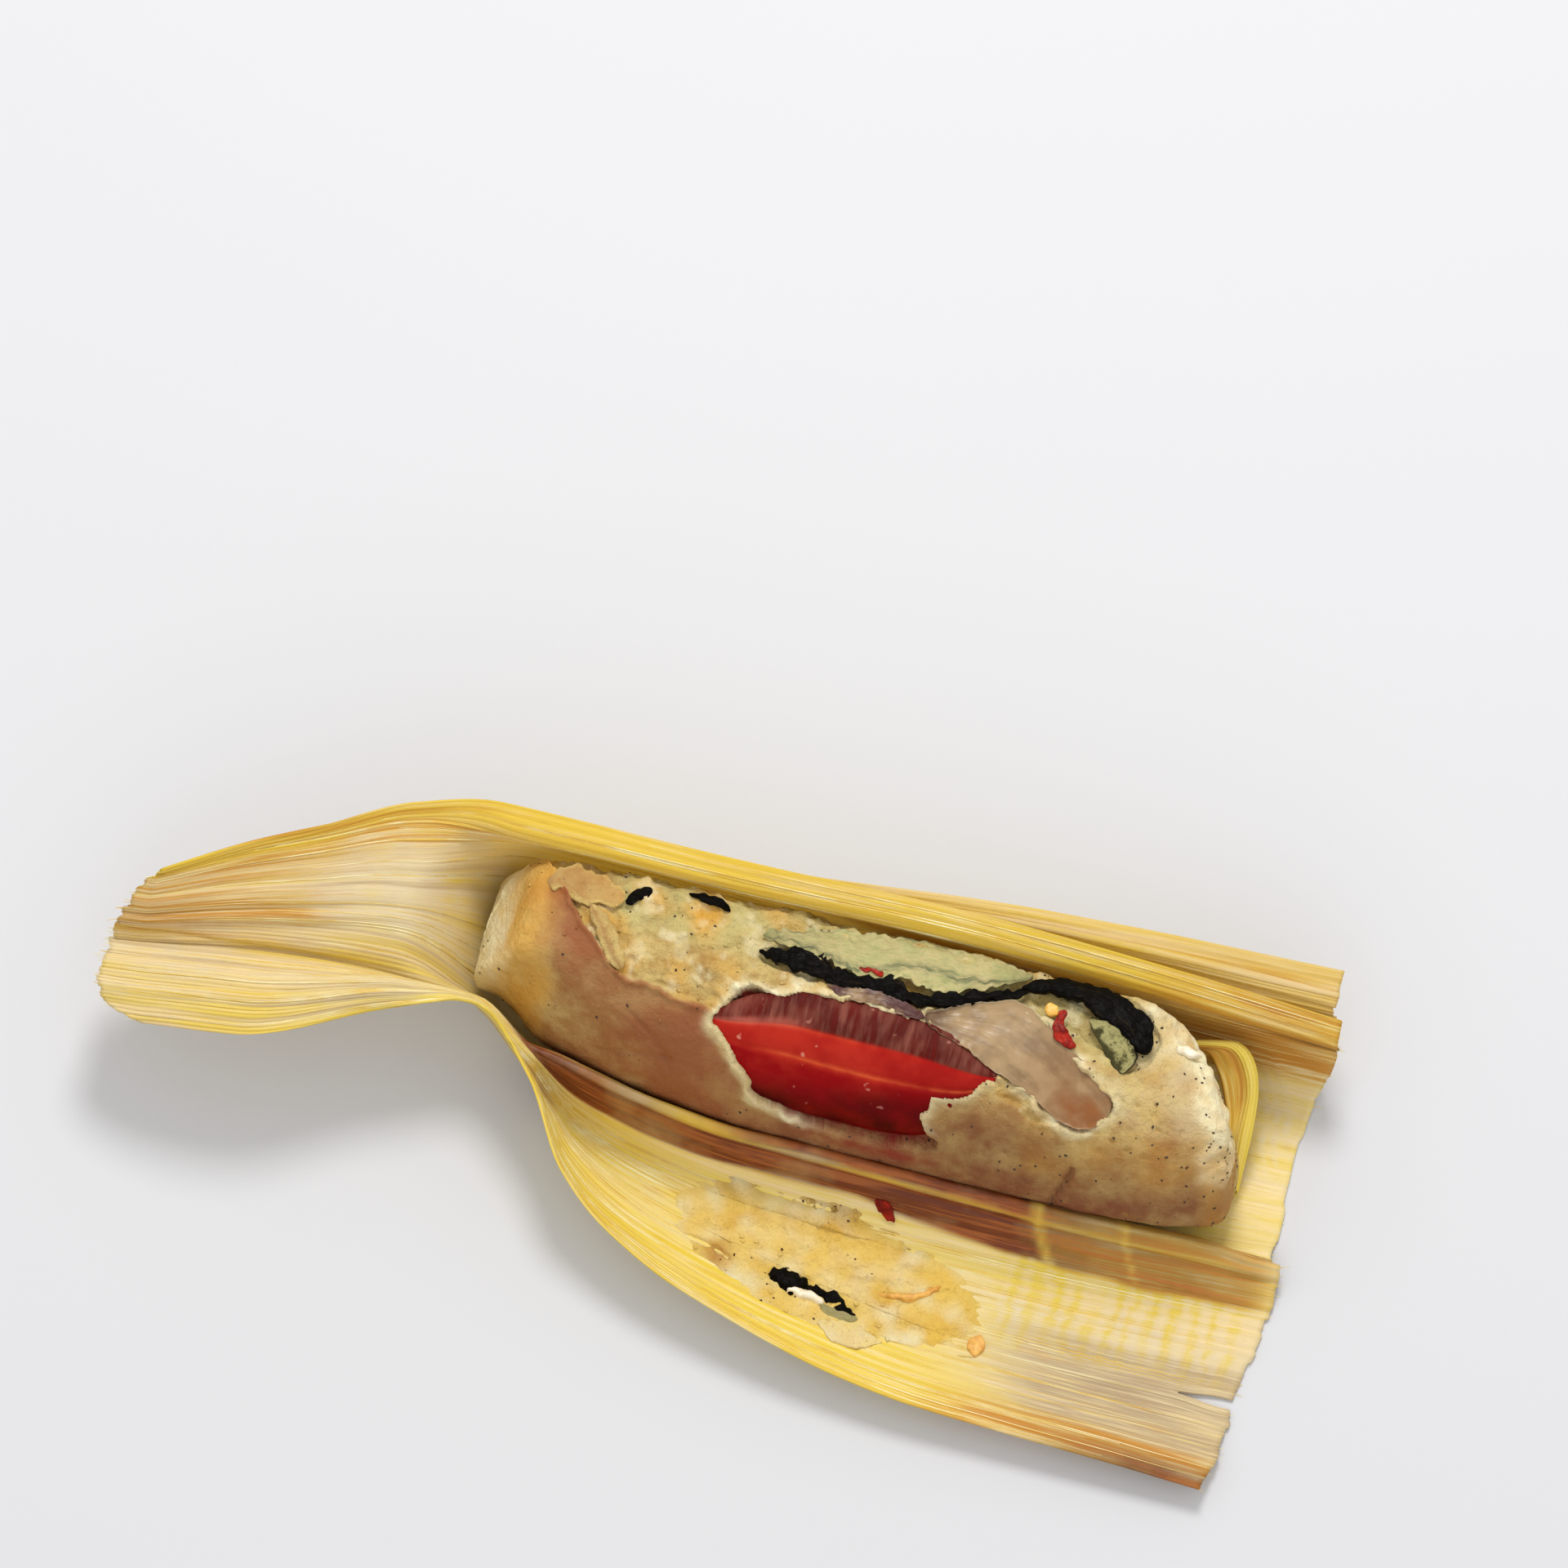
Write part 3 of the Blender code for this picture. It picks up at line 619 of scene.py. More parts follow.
def husk_finish():
    """Corn husk: pale between golden fibres, with amber streaks, a satin sheen, and light coming through."""
    husk = Finish("dry husk")
    broad = husk.noise(husk.along_fibres(0.2, 1.6), 1.0, 3)
    streak = husk.noise(husk.along_fibres(0.35, 6.5), 1.0, 4, 0.6)
    thread = husk.noise(husk.along_fibres(0.6, 26.0), 1.0, 3, 0.6)
    patch = husk.noise(husk.here(), 90, 3)
    fleck = husk.noise(husk.along_fibres(4.0, 30.0), 1.0, 2)
    gold = husk.attribute("gold") + streak * 2.6 + thread * 2.0 + broad * 1.1 + patch * 0.5
    amber = husk.attribute("amber") * (0.7 + streak * 4 + thread * 3)
    amber = amber + (streak + patch - 0.17).rise(0.0, 0.12) * 0.25
    brown_and_shade = husk.attribute("brown_and_shade") * (1.0 + patch * 0.8 + thread * 0.3)
    colour = husk.mixed(gold, HUSK_PALE, HUSK_GOLD)
    colour = husk.patched(
        colour,
        ("white", 0.7 + thread * 4 + patch * 3, HUSK_WHITE),
        ("grey", 0.8 + thread * 4, HUSK_GREY),
    )
    colour = husk.mixed(amber, colour, HUSK_AMBER)
    colour = husk.mixed((fleck - 0.14).rise(0.0, 0.1) * 0.3, colour, HUSK_AMBER)
    # The brownish zone: partly the husk's own tone, mostly painted shade under the lip
    brown_and_shade_tone = husk.mixed(streak * 5 + thread * 5 + 0.3, HUSK_BROWN_AND_SHADE, HUSK_WARM_BROWN_AND_SHADE)
    colour = husk.mixed(brown_and_shade, colour, brown_and_shade_tone)
    roughness = 0.5 + thread * 0.5 + patch * 0.4
    relief = thread * 0.7 + streak * 0.3 + patch * 0.2
    let_through = husk.attribute("standing") * 0.3 + 0.12 - brown_and_shade.kept() * 0.1
    return husk.end(colour, roughness, relief, 0.00022, SATIN, HUSK_GLOW, let_through)


def vein_finish():
    """The raised fibres of the husk."""
    vein = Finish("husk fibre")
    run = vein.noise(vein.here(60, 260, 260), 1.0, 3)
    grain = vein.noise(vein.here(300, 1500, 1500), 1.0, 2)
    return vein.end(vein.mixed(run * 5 + 0.5, VEIN_GOLD, VEIN_PALE), 0.5 + grain * 0.4, grain, 0.0002, SATIN)


MASA_CREAM = linear(200, 174, 110)
MASA_SHADOW = linear(170, 134, 72)
MASA_WHITE = linear(234, 224, 184)
MASA_SKIN = linear(144, 86, 48)
MASA_SHADE_MAUVE = linear(124, 72, 46)
MASA_GREEN = linear(190, 182, 122)
MASA_RED = linear(134, 38, 26)
MASA_GOLD = linear(212, 160, 66)
MASA_FLECK = linear(112, 72, 42)
SMEAR_CREAM = linear(228, 198, 114)
SMEAR_SHADOW = linear(216, 176, 82)
SMEAR_GOLD = linear(226, 186, 80)


def moist(weight, radius, depth, gloss=0.3):
    """Constants for a moist food that light sinks into."""
    sinks = {"Subsurface Weight": weight, "Subsurface Radius": radius, "Subsurface Scale": depth}
    return {**sinks, "Specular IOR Level": gloss}


def masa_finish(name, cream, shadow, gold):
    """Steamed masa: cream crumb where it is torn, and a smooth tan skin where it lay against the husk."""
    masa = Finish(name)
    mottle = masa.noise(masa.here(), 150, 4, 0.6)
    grain = masa.noise(masa.here(), 950, 4, 0.7)
    blotch = masa.noise(masa.here(), 50, 3)
    crumb = masa.noise(masa.here(), 420, 3, 0.6)
    skin = (masa.attribute("skin") + mottle * 0.8).kept()
    colour = masa.mixed(mottle * 3.5 + crumb * 2 + 0.35, cream, shadow)
    colour = masa.mixed(skin, colour, MASA_SKIN)
    colour = masa.patched(
        colour,
        ("mauve", 0.9 + mottle * 1.5, MASA_SHADE_MAUVE),
        ("green", 0.8 + blotch * 3, MASA_GREEN),
        ("gold", 0.8 + blotch * 2, gold),
        ("white", 0.8 + mottle * 3, MASA_WHITE),
        ("red", 0.9 + mottle * 3, MASA_RED),
    )
    colour = masa.mixed((grain - 0.12).rise(0.0, 0.1) * 0.35, colour, MASA_FLECK)
    relief = grain * (1.3 - skin * 0.7) + crumb * (1 - skin * 0.6) + mottle * 0.8
    moisture = moist(0.15, (1.0, 0.6, 0.3), 0.0015, 0.25)
    return masa.end(colour, 0.72 - skin * 0.2 + grain * 0.4, relief, 0.0006, moisture)


TOMATO_DULL = linear(70, 24, 18)
TOMATO_ROSE = linear(124, 68, 56)
TOMATO_PINK_HIGHLIGHT = linear(176, 92, 78)
TOMATO_BRIGHT = linear(178, 42, 28)
TOMATO_DEEP = linear(146, 6, 12)
TOMATO_DARK = linear(72, 0, 2)
TOMATO_ORANGE_HIGHLIGHT = linear(222, 98, 52)
TOMATO_GLINT = linear(232, 160, 140)


def tomato_finish():
    """A cooked tomato wedge: a dull cut face, then bright flesh and dark glossy skin."""
    tomato = Finish("tomato")
    cut, dark = tomato.attribute("cut"), tomato.attribute("dark")
    cloud = tomato.noise(tomato.here(), 130, 3)
    stripes = tomato.noise(tomato.here(800, 120, 120), 1.0, 3)
    dull = tomato.mixed(stripes * 3.2 + cloud * 2 + 0.35, TOMATO_DULL, TOMATO_ROSE)
    # The line and pink zones are painted highlights along the wedge's edges
    colour = tomato.patched(
        tomato.mixed(cloud * 3, TOMATO_DEEP, TOMATO_BRIGHT),
        ("dark", 0.9 + cloud * 2, TOMATO_DARK),
        ("bright", 0.8 + cloud * 3, TOMATO_BRIGHT),
        ("line", 0.6 + cloud * 4, TOMATO_ORANGE_HIGHLIGHT),
        ("cut", 0.94 + stripes * 0.8, dull),
        ("pink", 0.8 + cloud * 4, TOMATO_PINK_HIGHLIGHT),
    )
    glint = (tomato.noise(tomato.here(), 430, 1) - 0.21).rise(0.0, 0.06)
    colour = tomato.mixed(glint * (0.5 - dark * 0.3 - cut * 0.25), colour, TOMATO_GLINT)
    relief = stripes * cut * 0.7 + cloud * 0.5
    moisture = moist(0.1, (1.0, 0.2, 0.1), 0.0015, 0.05)
    return tomato.end(colour, 0.3 + cut * 0.25 + cloud * 0.3, relief, 0.0004, moisture)


ONION_PALE = linear(166, 139, 102)
ONION_GREY = linear(132, 108, 78)
ONION_PINK = linear(142, 88, 44)
ONION_MAUVE = linear(76, 38, 34)


def onion_finish():
    """Cooked onion: glassy and ribbed, grey to pinkish."""
    onion = Finish("onion")
    ribs = onion.noise(onion.along_fibres(0.5, 4.0), 1.0, 3)
    cloud = onion.noise(onion.here(), 200, 3)
    colour = onion.patched(
        onion.mixed(ribs * 3 + cloud * 3 + 0.45, ONION_PALE, ONION_GREY),
        ("pink", 0.9 + cloud * 3, ONION_PINK),
        ("mauve", 0.9 + cloud * 3, ONION_MAUVE),
    )
    moisture = moist(0.25, (1.0, 0.7, 0.4), 0.002, 0.25)
    return onion.end(colour, 0.34 + cloud * 0.4, ribs * 0.5 + cloud * 0.5, 0.0004, moisture)


PEPPER_BLACK = linear(7, 5, 3)
PEPPER_CHAR_AND_GLINT = linear(34, 26, 16)
PEPPER_GREEN = linear(176, 168, 112)
PEPPER_DARK_GREEN = linear(64, 60, 34)
FLESH_PALE = linear(192, 178, 124)
FLESH_GREEN = linear(168, 168, 112)
FLESH_DARK = linear(96, 102, 70)


def pepper_skin_finish():
    """Roasted pepper skin, black with painted grey glints and a dull sheen, and green on its inner side."""
    skin = Finish("pepper skin")
    cloud = skin.noise(skin.here(), 420, 4, 0.6)
    # Painted glints: grey streaks mixed into the black along the skin, with some charred tone from the cloud
    glint = skin.noise(skin.along_fibres(1.2, 5.0), 1.0, 3)
    black = skin.mixed((cloud + glint * 1.4 - 0.12).rise(0.0, 0.16) * 0.8, PEPPER_BLACK, PEPPER_CHAR_AND_GLINT)
    green = skin.mixed(cloud * 7 + 0.3, PEPPER_GREEN, PEPPER_DARK_GREEN)
    green = skin.mixed(skin.attribute("edge"), green, PEPPER_DARK_GREEN)
    colour = skin.patched(black, ("inner", 0.9 + cloud * 3, green))
    return skin.end(colour, 0.4 + cloud * 0.8, cloud + glint, 0.0004, {"Specular IOR Level": 0.04})


def pepper_flesh_finish():
    """The pale green flesh of a roasted pepper, in fine fibres."""
    flesh = Finish("pepper flesh")
    fibre = flesh.noise(flesh.along_fibres(1.2, 7.0), 3.0, 4, 0.65)
    cloud = flesh.noise(flesh.here(), 220, 3)
    colour = flesh.mixed(fibre * 3 + cloud * 3 + 0.35, FLESH_PALE, FLESH_GREEN)
    colour = flesh.patched(colour, ("dark", 0.7 + fibre * 3, FLESH_DARK))
    moisture = moist(0.15, (0.6, 1.0, 0.4), 0.001)
    return flesh.end(colour, 0.5 + fibre * 0.4, fibre + cloud, 0.0005, moisture)


def bit_finish(name, colour, other, roughness, constants=None):
    """A small piece's finish, clouded from one colour to another."""
    bit = Finish(name)
    cloud = bit.noise(bit.here(), 600, 3)
    clouded = bit.mixed(cloud * 4 + 0.5, colour, other)
    return bit.end(clouded, roughness + cloud * 0.3, cloud, 0.0004, constants)


# --- The husk ---------------------------------------------------------------------------------------------

HUSK_COLUMNS, HUSK_ROWS = 168, 284
# Relief in millimetres; places and widths across the leaf are shares of it, about 0.01 to a millimetre
RIBS, RIB_HEIGHT = 62, 0.12
RIM_BAND = ((-130, 0.1), (-100, 0.13), (-75, 0.15), (-45, 0.09), (80, 0.075))
RIM_BEAD, RIM_CREASE = 0.3, 0.12
LIP_LINE = ((-60, 0.615), (-43, 0.617), (0, 0.6235), (80, 0.632))
LIP_LEAN, LIP_GROOVE_IN, LIP_SECOND_IN = 0.8, 0.0095, 0.024
# Where the painted shade under the lip ends, as a share across the leaf
LIP_SHADE_TO = ((-42, 0.669), (-19, 0.663), (1, 0.657), (13, 0.667), (37, 0.685), (57, 0.691))
LIP_WIDTH, LIP_GROOVE = 0.0042, 0.5
TAIL_PLEATS, TAIL_PLEAT_HEIGHT = 9, 0.3
WRINKLE_SPACING, WRINKLE_HEIGHT = 3.5, 0.3
DENT_HEIGHT = 0.4
SLIT_AT, SLIT_FROM_X, SLIT_WIDTH = 0.846, 66.5, 1.5
FRAY, BUNDLES = 1.3, 44
FIBRES_OFF = 0.57, 0.69
RAISED_FIBRES, LOOSE_THREADS = 76, 46
LIP_CRACKS = ((37.9, 1.0), (53.0, 0.6))
ARC_MIDDLE, ARC_RADII = (57.5, 9.5), (12.6, 14.4, 16.2)


def leaf_under(x, across):
    """Points of the main leaf's underside: across is 0 at the back rim and 1 at the flap's outer edge."""
    rim_y, rim_z = through(x, RIM_Y), through(x, RIM_Z)
    crest_y, crest_z = through(x, CREST_Y), through(x, CREST_Z)
    floor_y = BACK_FOOT_Y - FLOOR_INSET, crest_y + FLOOR_INSET
    fold_y, fold_z = (crest_y + FOLD_FOOT_IN, crest_y + FOLD_TOP_IN), (FOLD_FOOT_Z, crest_z - FOLD_TOP_DOWN)
    section_y = rim_y, rim_y - RIM_IN, WALL_Y, BACK_FOOT_Y, *floor_y, *fold_y, crest_y
    section_z = rim_z, rim_z - RIM_DOWN, WALL_Z, BACK_FOOT_Z, 0, 0, *fold_z, crest_z
    section_y, section_z = (np.array(np.broadcast_arrays(*heights)) for heights in (section_y, section_z))
    tail = ease(x, TAIL_FROM, TAIL_TO)
    shares = np.array(TROUGH_SHARES)[:, None]
    tail_y = rim_y + (crest_y - rim_y) * shares
    tail_z = rim_z + (crest_z - rim_z) * shares + TAIL_BULGE * hump(shares, RIM_CURL_TO, 1)
    tail_z = tail_z - RIM_CURL * hump(shares, 0, RIM_CURL_TO)
    section_y = section_y * (1 - tail) + tail_y * tail
    section_z = section_z * (1 - tail) + tail_z * tail
    share = np.clip(across / CREST_AT, 0, 1)
    trough_y, trough_z = (curve_at(share, TROUGH_SHARES, rows) for rows in (section_y, section_z))

    spread = np.clip((across - CREST_AT) / (1 - CREST_AT), 0, 1)
    edge_y, edge_z = through(x, EDGE_Y), through(x, EDGE_Z)
    opened = ease(crest_y - edge_y, FLAP_OPEN_FROM, FLAP_OPEN_TO)
    body_z = crest_z * (1 - spread) ** (1 + FLAP_DROP * opened) + edge_z * spread ** (1 + FLAP_LIFT * opened)
    body_z = np.maximum(body_z - FLAP_REST * opened * hump(spread, 0, 1), 0)
    lobe_z = crest_z + (edge_z - crest_z) * spread + TAIL_LOBE * hump(spread, 0, 1)
    flap_z = body_z + (lobe_z - body_z) * tail
    flap_y = crest_y + (edge_y - crest_y) * spread
    on_flap = across > CREST_AT
    return np.column_stack([x, np.where(on_flap, flap_y, trough_y), np.where(on_flap, flap_z, trough_z)])


def leaf_top(x, across, lift):
    """Points at a height over the main leaf's upper face."""
    return raised(leaf_under, x, across, HUSK_THICKNESS + lift)


def flap_top(x, y, lift):
    """The points over (x, y) of the opened flap, at a height over its upper face."""
    crest_y = through(x, CREST_Y)
    spread = (crest_y - y) / (crest_y - through(x, EDGE_Y))
    return leaf_top(x, CREST_AT + (1 - CREST_AT) * spread, lift)


def fray(across, seed):
    """How far each bundle of fibres stops short of a cut end."""
    bundle = np.floor(across * BUNDLES + 0.8 * ripple(across, 0.05, seed + 2))
    return FRAY * (0.55 + 0.5 * ripple(across, 0.09, seed) + 0.7 * ripple(bundle, 1.7, seed + 1))


def wrinkles(x, across):
    """Where the flap is wrinkled across its fibres, and the wrinkles' wave."""
    where = band(x, 35, 72, 6) * band(across, 0.68, 0.82, 0.03)
    shift = 1.6 * stretched(x, 7, across, 0.1, 7) + 0.5 * stretched(x, 3, across, 0.03, 10)
    where = where * (0.7 + 1.3 * stretched(x, 6, across, 0.12, 11))
    return where, np.cos(tau * (x + shift) / WRINKLE_SPACING)


def curl_arcs(points):
    """Arcs pressed in the husk round the strip that curls at the masa's far end."""
    away = points[:, :2] - ARC_MIDDLE
    radius, turn = np.hypot(*away.T), np.degrees(np.arctan2(away[:, 1], away[:, 0]))
    return sum(bell(radius, size, 0.35) for size in ARC_RADII) * band(turn, -38, 44, 10)


def leaf_relief(x, across, smooth):
    """The main leaf's ribs, folds and wrinkles, as a height over its smooth form."""
    rib = across * RIBS + 0.6 * stretched(x, 40, across, 0.14, 1)
    size = 0.6 + 0.9 * stretched(x, 60, rib, 1.1, 2)
    height = RIB_HEIGHT * size * np.cos(tau * rib)
    bead_end = through(x, RIM_BAND) * (1 + 0.15 * ripple(x, 30, 3))
    height += RIM_BEAD * hump(across, -0.02, bead_end) - RIM_CREASE * bell(across, bead_end, 0.007)
    along_lip = band(x, -50, 74, 8) * (1 + 0.35 * ripple(x, 11, 4))
    past_lip = across - through(x, LIP_LINE)
    height += along_lip * 0.5 * bell(past_lip, 0, LIP_WIDTH)
    height += along_lip * 0.15 * bell(past_lip, LIP_SECOND_IN, LIP_WIDTH)
    height -= along_lip * LIP_GROOVE * bell(past_lip, LIP_GROOVE_IN, LIP_WIDTH * 0.8)
    tail = ease(-x, 70, 100)
    pleat = across * TAIL_PLEATS + 0.7 * stretched(x, 50, across, 0.12, 5)
    gathered = tail * (0.8 + 0.8 * stretched(x, 30, across, 0.1, 6))
    height += TAIL_PLEAT_HEIGHT * gathered * np.cos(tau * pleat) * ease(across, 0.08, 0.16)
    height -= 0.45 * tail * bell(across, through(x, VALLEY_AT), 0.012)
    where, wave = wrinkles(x, across)
    height += WRINKLE_HEIGHT * where * wave
    dents = stretched(x, 26, across, 0.075, 8) + 0.5 * stretched(x, 10, across, 0.03, 9)
    height += DENT_HEIGHT * dents * (0.4 + 0.6 * ease(across, 0.64, 0.72))
    height -= 1.3 * band(x, -64, -52, 4) * bell(across, 0.79, 0.07)
    height += 0.35 * curl_arcs(smooth) * (across < 0.6)
    for place, width in LIP_CRACKS:
        height += 0.25 * bell(x, place + 60 * (across - 0.65), width) * band(across, 0.62, 0.68, 0.01)
    return height


def husk_zones(x, across, smooth):
    """Where the main leaf is golden, amber, whitish and grey, where it is brownish or in painted shade, and
    how open it is to the light behind it.
    """
    tail = ease(-x, 58, 80)
    rim_to = through(x, RIM_BAND)
    rim = 1 - ease(across, rim_to, rim_to * 1.4)
    flap = ease(across, CREST_AT + 0.05, CREST_AT + 0.08) * (1 - tail)
    right = ease(x, 5, 50)
    slow = stretched(x, 26, across, 0.09, 21)
    where, wave = wrinkles(x, across)
    valley = tail * bell(across, through(x, VALLEY_AT), 0.022)
    pleat_streaks = stretched(x, 60, across, 0.03, 26)
    # Painted shade in the hollow where the tail meets the flap
    tail_hollow_shade = band(x, -64, -52, 4) * bell(across, 0.79, 0.06)

    gold = 0.3 + 0.6 * rim + 0.65 * flap * (1 - right) - 0.15 * flap * right
    # Gold on the flap's wrinkles by their wave: painted light and shade on the wrinkles
    gold += 0.5 * flap * ease(across, 0.86, 0.95) + 0.35 * slow + 1.2 * where * ease(wave, -0.1, 0.7)
    gold += 0.08 * tail + 0.9 * valley + 0.8 * tail * stretched(x, 70, across, 0.016, 23)
    gold += 0.6 * band(x, -108, -60, 8) * ease(across, 0.86, 0.95)
    gold += 0.3 * tail * bell(across, 0.93, 0.05) * ease(-x, 95, 118)
    gold += 0.25 * (1 - tail) * band(across, 0.1, 0.5, 0.1)

    amber = 0.3 * rim * bell(across, 0.05 + 0.018 * slow, 0.012) * (0.7 + slow)
    amber += 0.9 * tail * rim * ease(stretched(x, 30, across, 0.02, 25), -0.1, 0.4)
    amber += 0.8 * ease(-x, 82, 122) * band(across, 0.16, 0.47, 0.05) * (0.55 + 1.4 * pleat_streaks)
    amber += 0.6 * band(x, -140, -108, 18) * bell(across, 0.45, 0.1) + 0.35 * valley * ease(-x, 80, 110)
    # Amber low on the back wall at the cut end: partly the husk's colour, partly painted shade in the hollow
    # behind the masa's end
    amber += 2.0 * ease(x, 40, 76) * band(across, 0, 0.26, 0.05) * (0.9 + slow)
    amber += 1.8 * ease(x, 14, 56) * ease(across, 0.93, 0.975) + 0.2 * (1 - tail) * ease(across, 0.955, 0.99)

    white = 0.6 * tail * band(across, 0.14, 0.95, 0.06) * (1 - valley) * (0.7 + 1.2 * slow)
    # Painted light and shade on the wrinkles: less white on their crests, more between them
    white += 0.5 * flap * right * band(across, 0.76, 0.93, 0.04) * (1 - 0.8 * where * wave)
    white += 0.3 * flap * (1 - right) * band(across, 0.7, 0.85, 0.04)
    white += 0.25 * ease(x, 62, 72) * band(across, 0.36, 0.62, 0.03)
    # Painted light: whiter on the tail by the masa's left end, where the back wall's shadow falls
    white += 0.8 * band(x, -92, -62, 8) * band(across, 0.1, 0.46, 0.06)
    # Painted light just under the tail's valley, where the husk turns to the light
    white += 0.5 * ease(-x, 88, 118) * band(across, 0.5, 0.7, 0.04)
    white += 0.5 * curl_arcs(smooth) * (across < 0.6)

    grey = (1.0 + 0.8 * slow) * ease(x, 26, 52) * band(across, 0.81, 0.94, 0.03)
    grey += 0.7 * tail * ease(stretched(x, 70, across, 0.02, 24), 0.05, 0.5) * (1 - rim)

    # Painted highlight: gold along the lip's crest line. Below it the lip zone is painted shade, brownish
    # and towards the cut end amber and gold, for the shadow the lip and masa cast down the fold
    ridge = band(x, -46, 66, 10) * bell(across - through(x, LIP_LINE), 0, 0.0021)
    lip_shade_to = through(x, LIP_SHADE_TO) + 0.006 * ripple(x, 9, 22)
    lip = (1 - ease(across, lip_shade_to - 0.009, lip_shade_to + 0.005)) * ease(across, 0.55, 0.562)
    lip *= band(x, -54, 73, 9)
    gold += 0.5 * lip * ease(x, 16, 50)
    amber += (0.6 + 0.5 * slow) * lip * ease(x, 16, 50)
    brown_and_shade = (1.2 + 0.3 * slow) * lip * (1 - 0.6 * ease(x, 14, 60)) + 0.6 * tail_hollow_shade
    brown_and_shade += 0.9 * ease(x, 48, 79) * bell(across, 0.15, 0.05)
    brown_and_shade += 0.9 * ease(x, 32, 68) * ease(across, 0.945, 0.99)
    gold, brown_and_shade = gold + 0.6 * ridge, np.minimum(brown_and_shade, 1) * (1 - 0.5 * ridge)
    # Along each crack across the fold the painted shade gives way to gold
    for place, width in LIP_CRACKS:
        crack = bell(x, place + 60 * (across - 0.65), width) * band(across, 0.61, 0.68, 0.01)
        gold, brown_and_shade = gold + 0.5 * crack, brown_and_shade * (1 - 0.6 * crack)
    standing = np.maximum(0.6 * ease(-x, 62, 84), 1 - ease(across, 0.2, 0.32))
    standing = np.maximum(standing, 0.45 * flap * right)
    return {"gold": gold, "amber": amber, "white": white, "grey": grey, "brown_and_shade": brown_and_shade, "standing": standing}


def leaf_columns():
    """Places along the leaf, closest together at its tail."""
    return curve_at(np.linspace(0, 1, HUSK_COLUMNS), (0, 0.2, 0.42, 0.7, 1), (0, 0.16, 0.4, 0.74, 1))


def leaf_rows():
    """Places across the leaf, closest together at its lip, with more round the crest."""
    rows = curve_at(np.linspace(0, 1, HUSK_ROWS), (0, 0.15, 0.4, 0.56, 1), (0, 0.12, 0.53, 0.66, 1))
    return np.sort(np.append(rows, CREST_AT + np.array(ROUND_THE_CREST)))


def make_husk(finish):
    """The main leaf: its tail, its trough round the masa and its opened flap. Gives its grid too."""
    columns, rows = leaf_columns(), leaf_rows()
    along, across = pairs(columns, rows)
    tip = TAIL_TIP_X + through(across, TIP_TRIM) + fray(across, 31)
    cut = CUT_END_X - through(across, CUT_TRIM) - fray(across, 35)
    x = tip + (cut - tip) * along
    smooth = leaf_under(x, across)
    points = raised(leaf_under, x, across, HUSK_THICKNESS / 2 + leaf_relief(x, across, smooth))
    lean = LIP_LEAN * (0.6 + 1.1 * ease(x, -22, 0)) * band(x, -48, 66, 8)
    points[:, 1] += lean * bell(across, 0.61, 0.014)
    parted = SLIT_WIDTH / 2 * ease(x, SLIT_FROM_X, 74.5) * bell(across, SLIT_AT, 0.03)
    points[:, 1] -= parted * np.sign(across - SLIT_AT)
    points[:, 2] = np.maximum(points[:, 2], LEAF_WALL / 2 + 0.02)
    in_slit = (rows[:-1] <= SLIT_AT) & (rows[1:] > SLIT_AT)
    torn = (x.reshape(len(columns), -1)[:-1, :-1] > SLIT_FROM_X) & in_slit[None, :]
    fibres = np.column_stack([x / 10, across * 12])
    leaf = make_leaf("husk_leaf", points, len(rows), finish, husk_zones(x, across, smooth), fibres, torn)
    return leaf, points.reshape(len(columns), len(rows), 3)


def make_fibres(grid, finish, drawn):
    """The raised fibres that run along the main leaf, and the loose threads at its two ends."""
    draws = np.random.default_rng(7)
    columns, rows = grid.shape[:2]
    upwards = -np.cross(np.gradient(grid, axis=0), np.gradient(grid, axis=1))
    upwards /= np.linalg.norm(upwards, axis=-1, keepdims=True)
    lines, thick = [], []
    across = leaf_rows()
    free = np.array([row for row in range(6, rows - 3) if not FIBRES_OFF[0] < across[row] < FIBRES_OFF[1]])
    for row in np.sort(draws.choice(free, RAISED_FIBRES, replace=False)):
        start = int(draws.integers(0, columns // 2))
        end = int(min(columns, start + draws.integers(columns // 4, columns)))
        line = grid[start:end, row] + upwards[start:end, row] * (LEAF_WALL / 2 - 0.02)
        share = np.linspace(0, 1, len(line))
        lines.append(line)
        thick.append(draws.uniform(0.16, 0.34) * (0.25 + 0.75 * hump(share, -0.05, 1.05)))
    for end, inner in ((0, 3), (columns - 1, columns - 4)):
        for row in draws.choice(rows, LOOSE_THREADS, replace=False):
            root, away = grid[end, row], grid[end, row] - grid[inner, row]
            away = away / np.linalg.norm(away) + draws.normal(0, 0.16, 3)
            run = np.linspace(-0.6, draws.uniform(0.3, 1.5), 7)[:, None]
            bend = draws.normal(0, 0.12, 3) * np.maximum(run, 0) ** 2
            line = root + away * run + bend
            line[:, 2] = np.maximum(line[:, 2], 0.15)
            lines.append(line)
            thick.append(draws.uniform(0.1, 0.22) * np.linspace(1, 0.3, 7))
    return drawn.run(lines_base("husk_fibres", lines, thick), Thickness=1.0, Sides=4, Finish=finish)


def outer_leaf_at(along, across):
    """Points of the outer leaf: across is 0 at its upper edge and 1 at its foot, behind the back wall."""
    start = OUTER_FROM_X + OUTER_SLANT * across
    x = start + (OUTER_TO_X - start) * along
    place = OUTER_TOP + (OUTER_FOOT - OUTER_TOP) * across
    away = through(x, OUTER_REACH) * (1 - across) ** 2
    return raised(leaf_under, x, place, -OUTER_STANDOFF) + np.outer(away, (0, 1, OUTER_RISE))


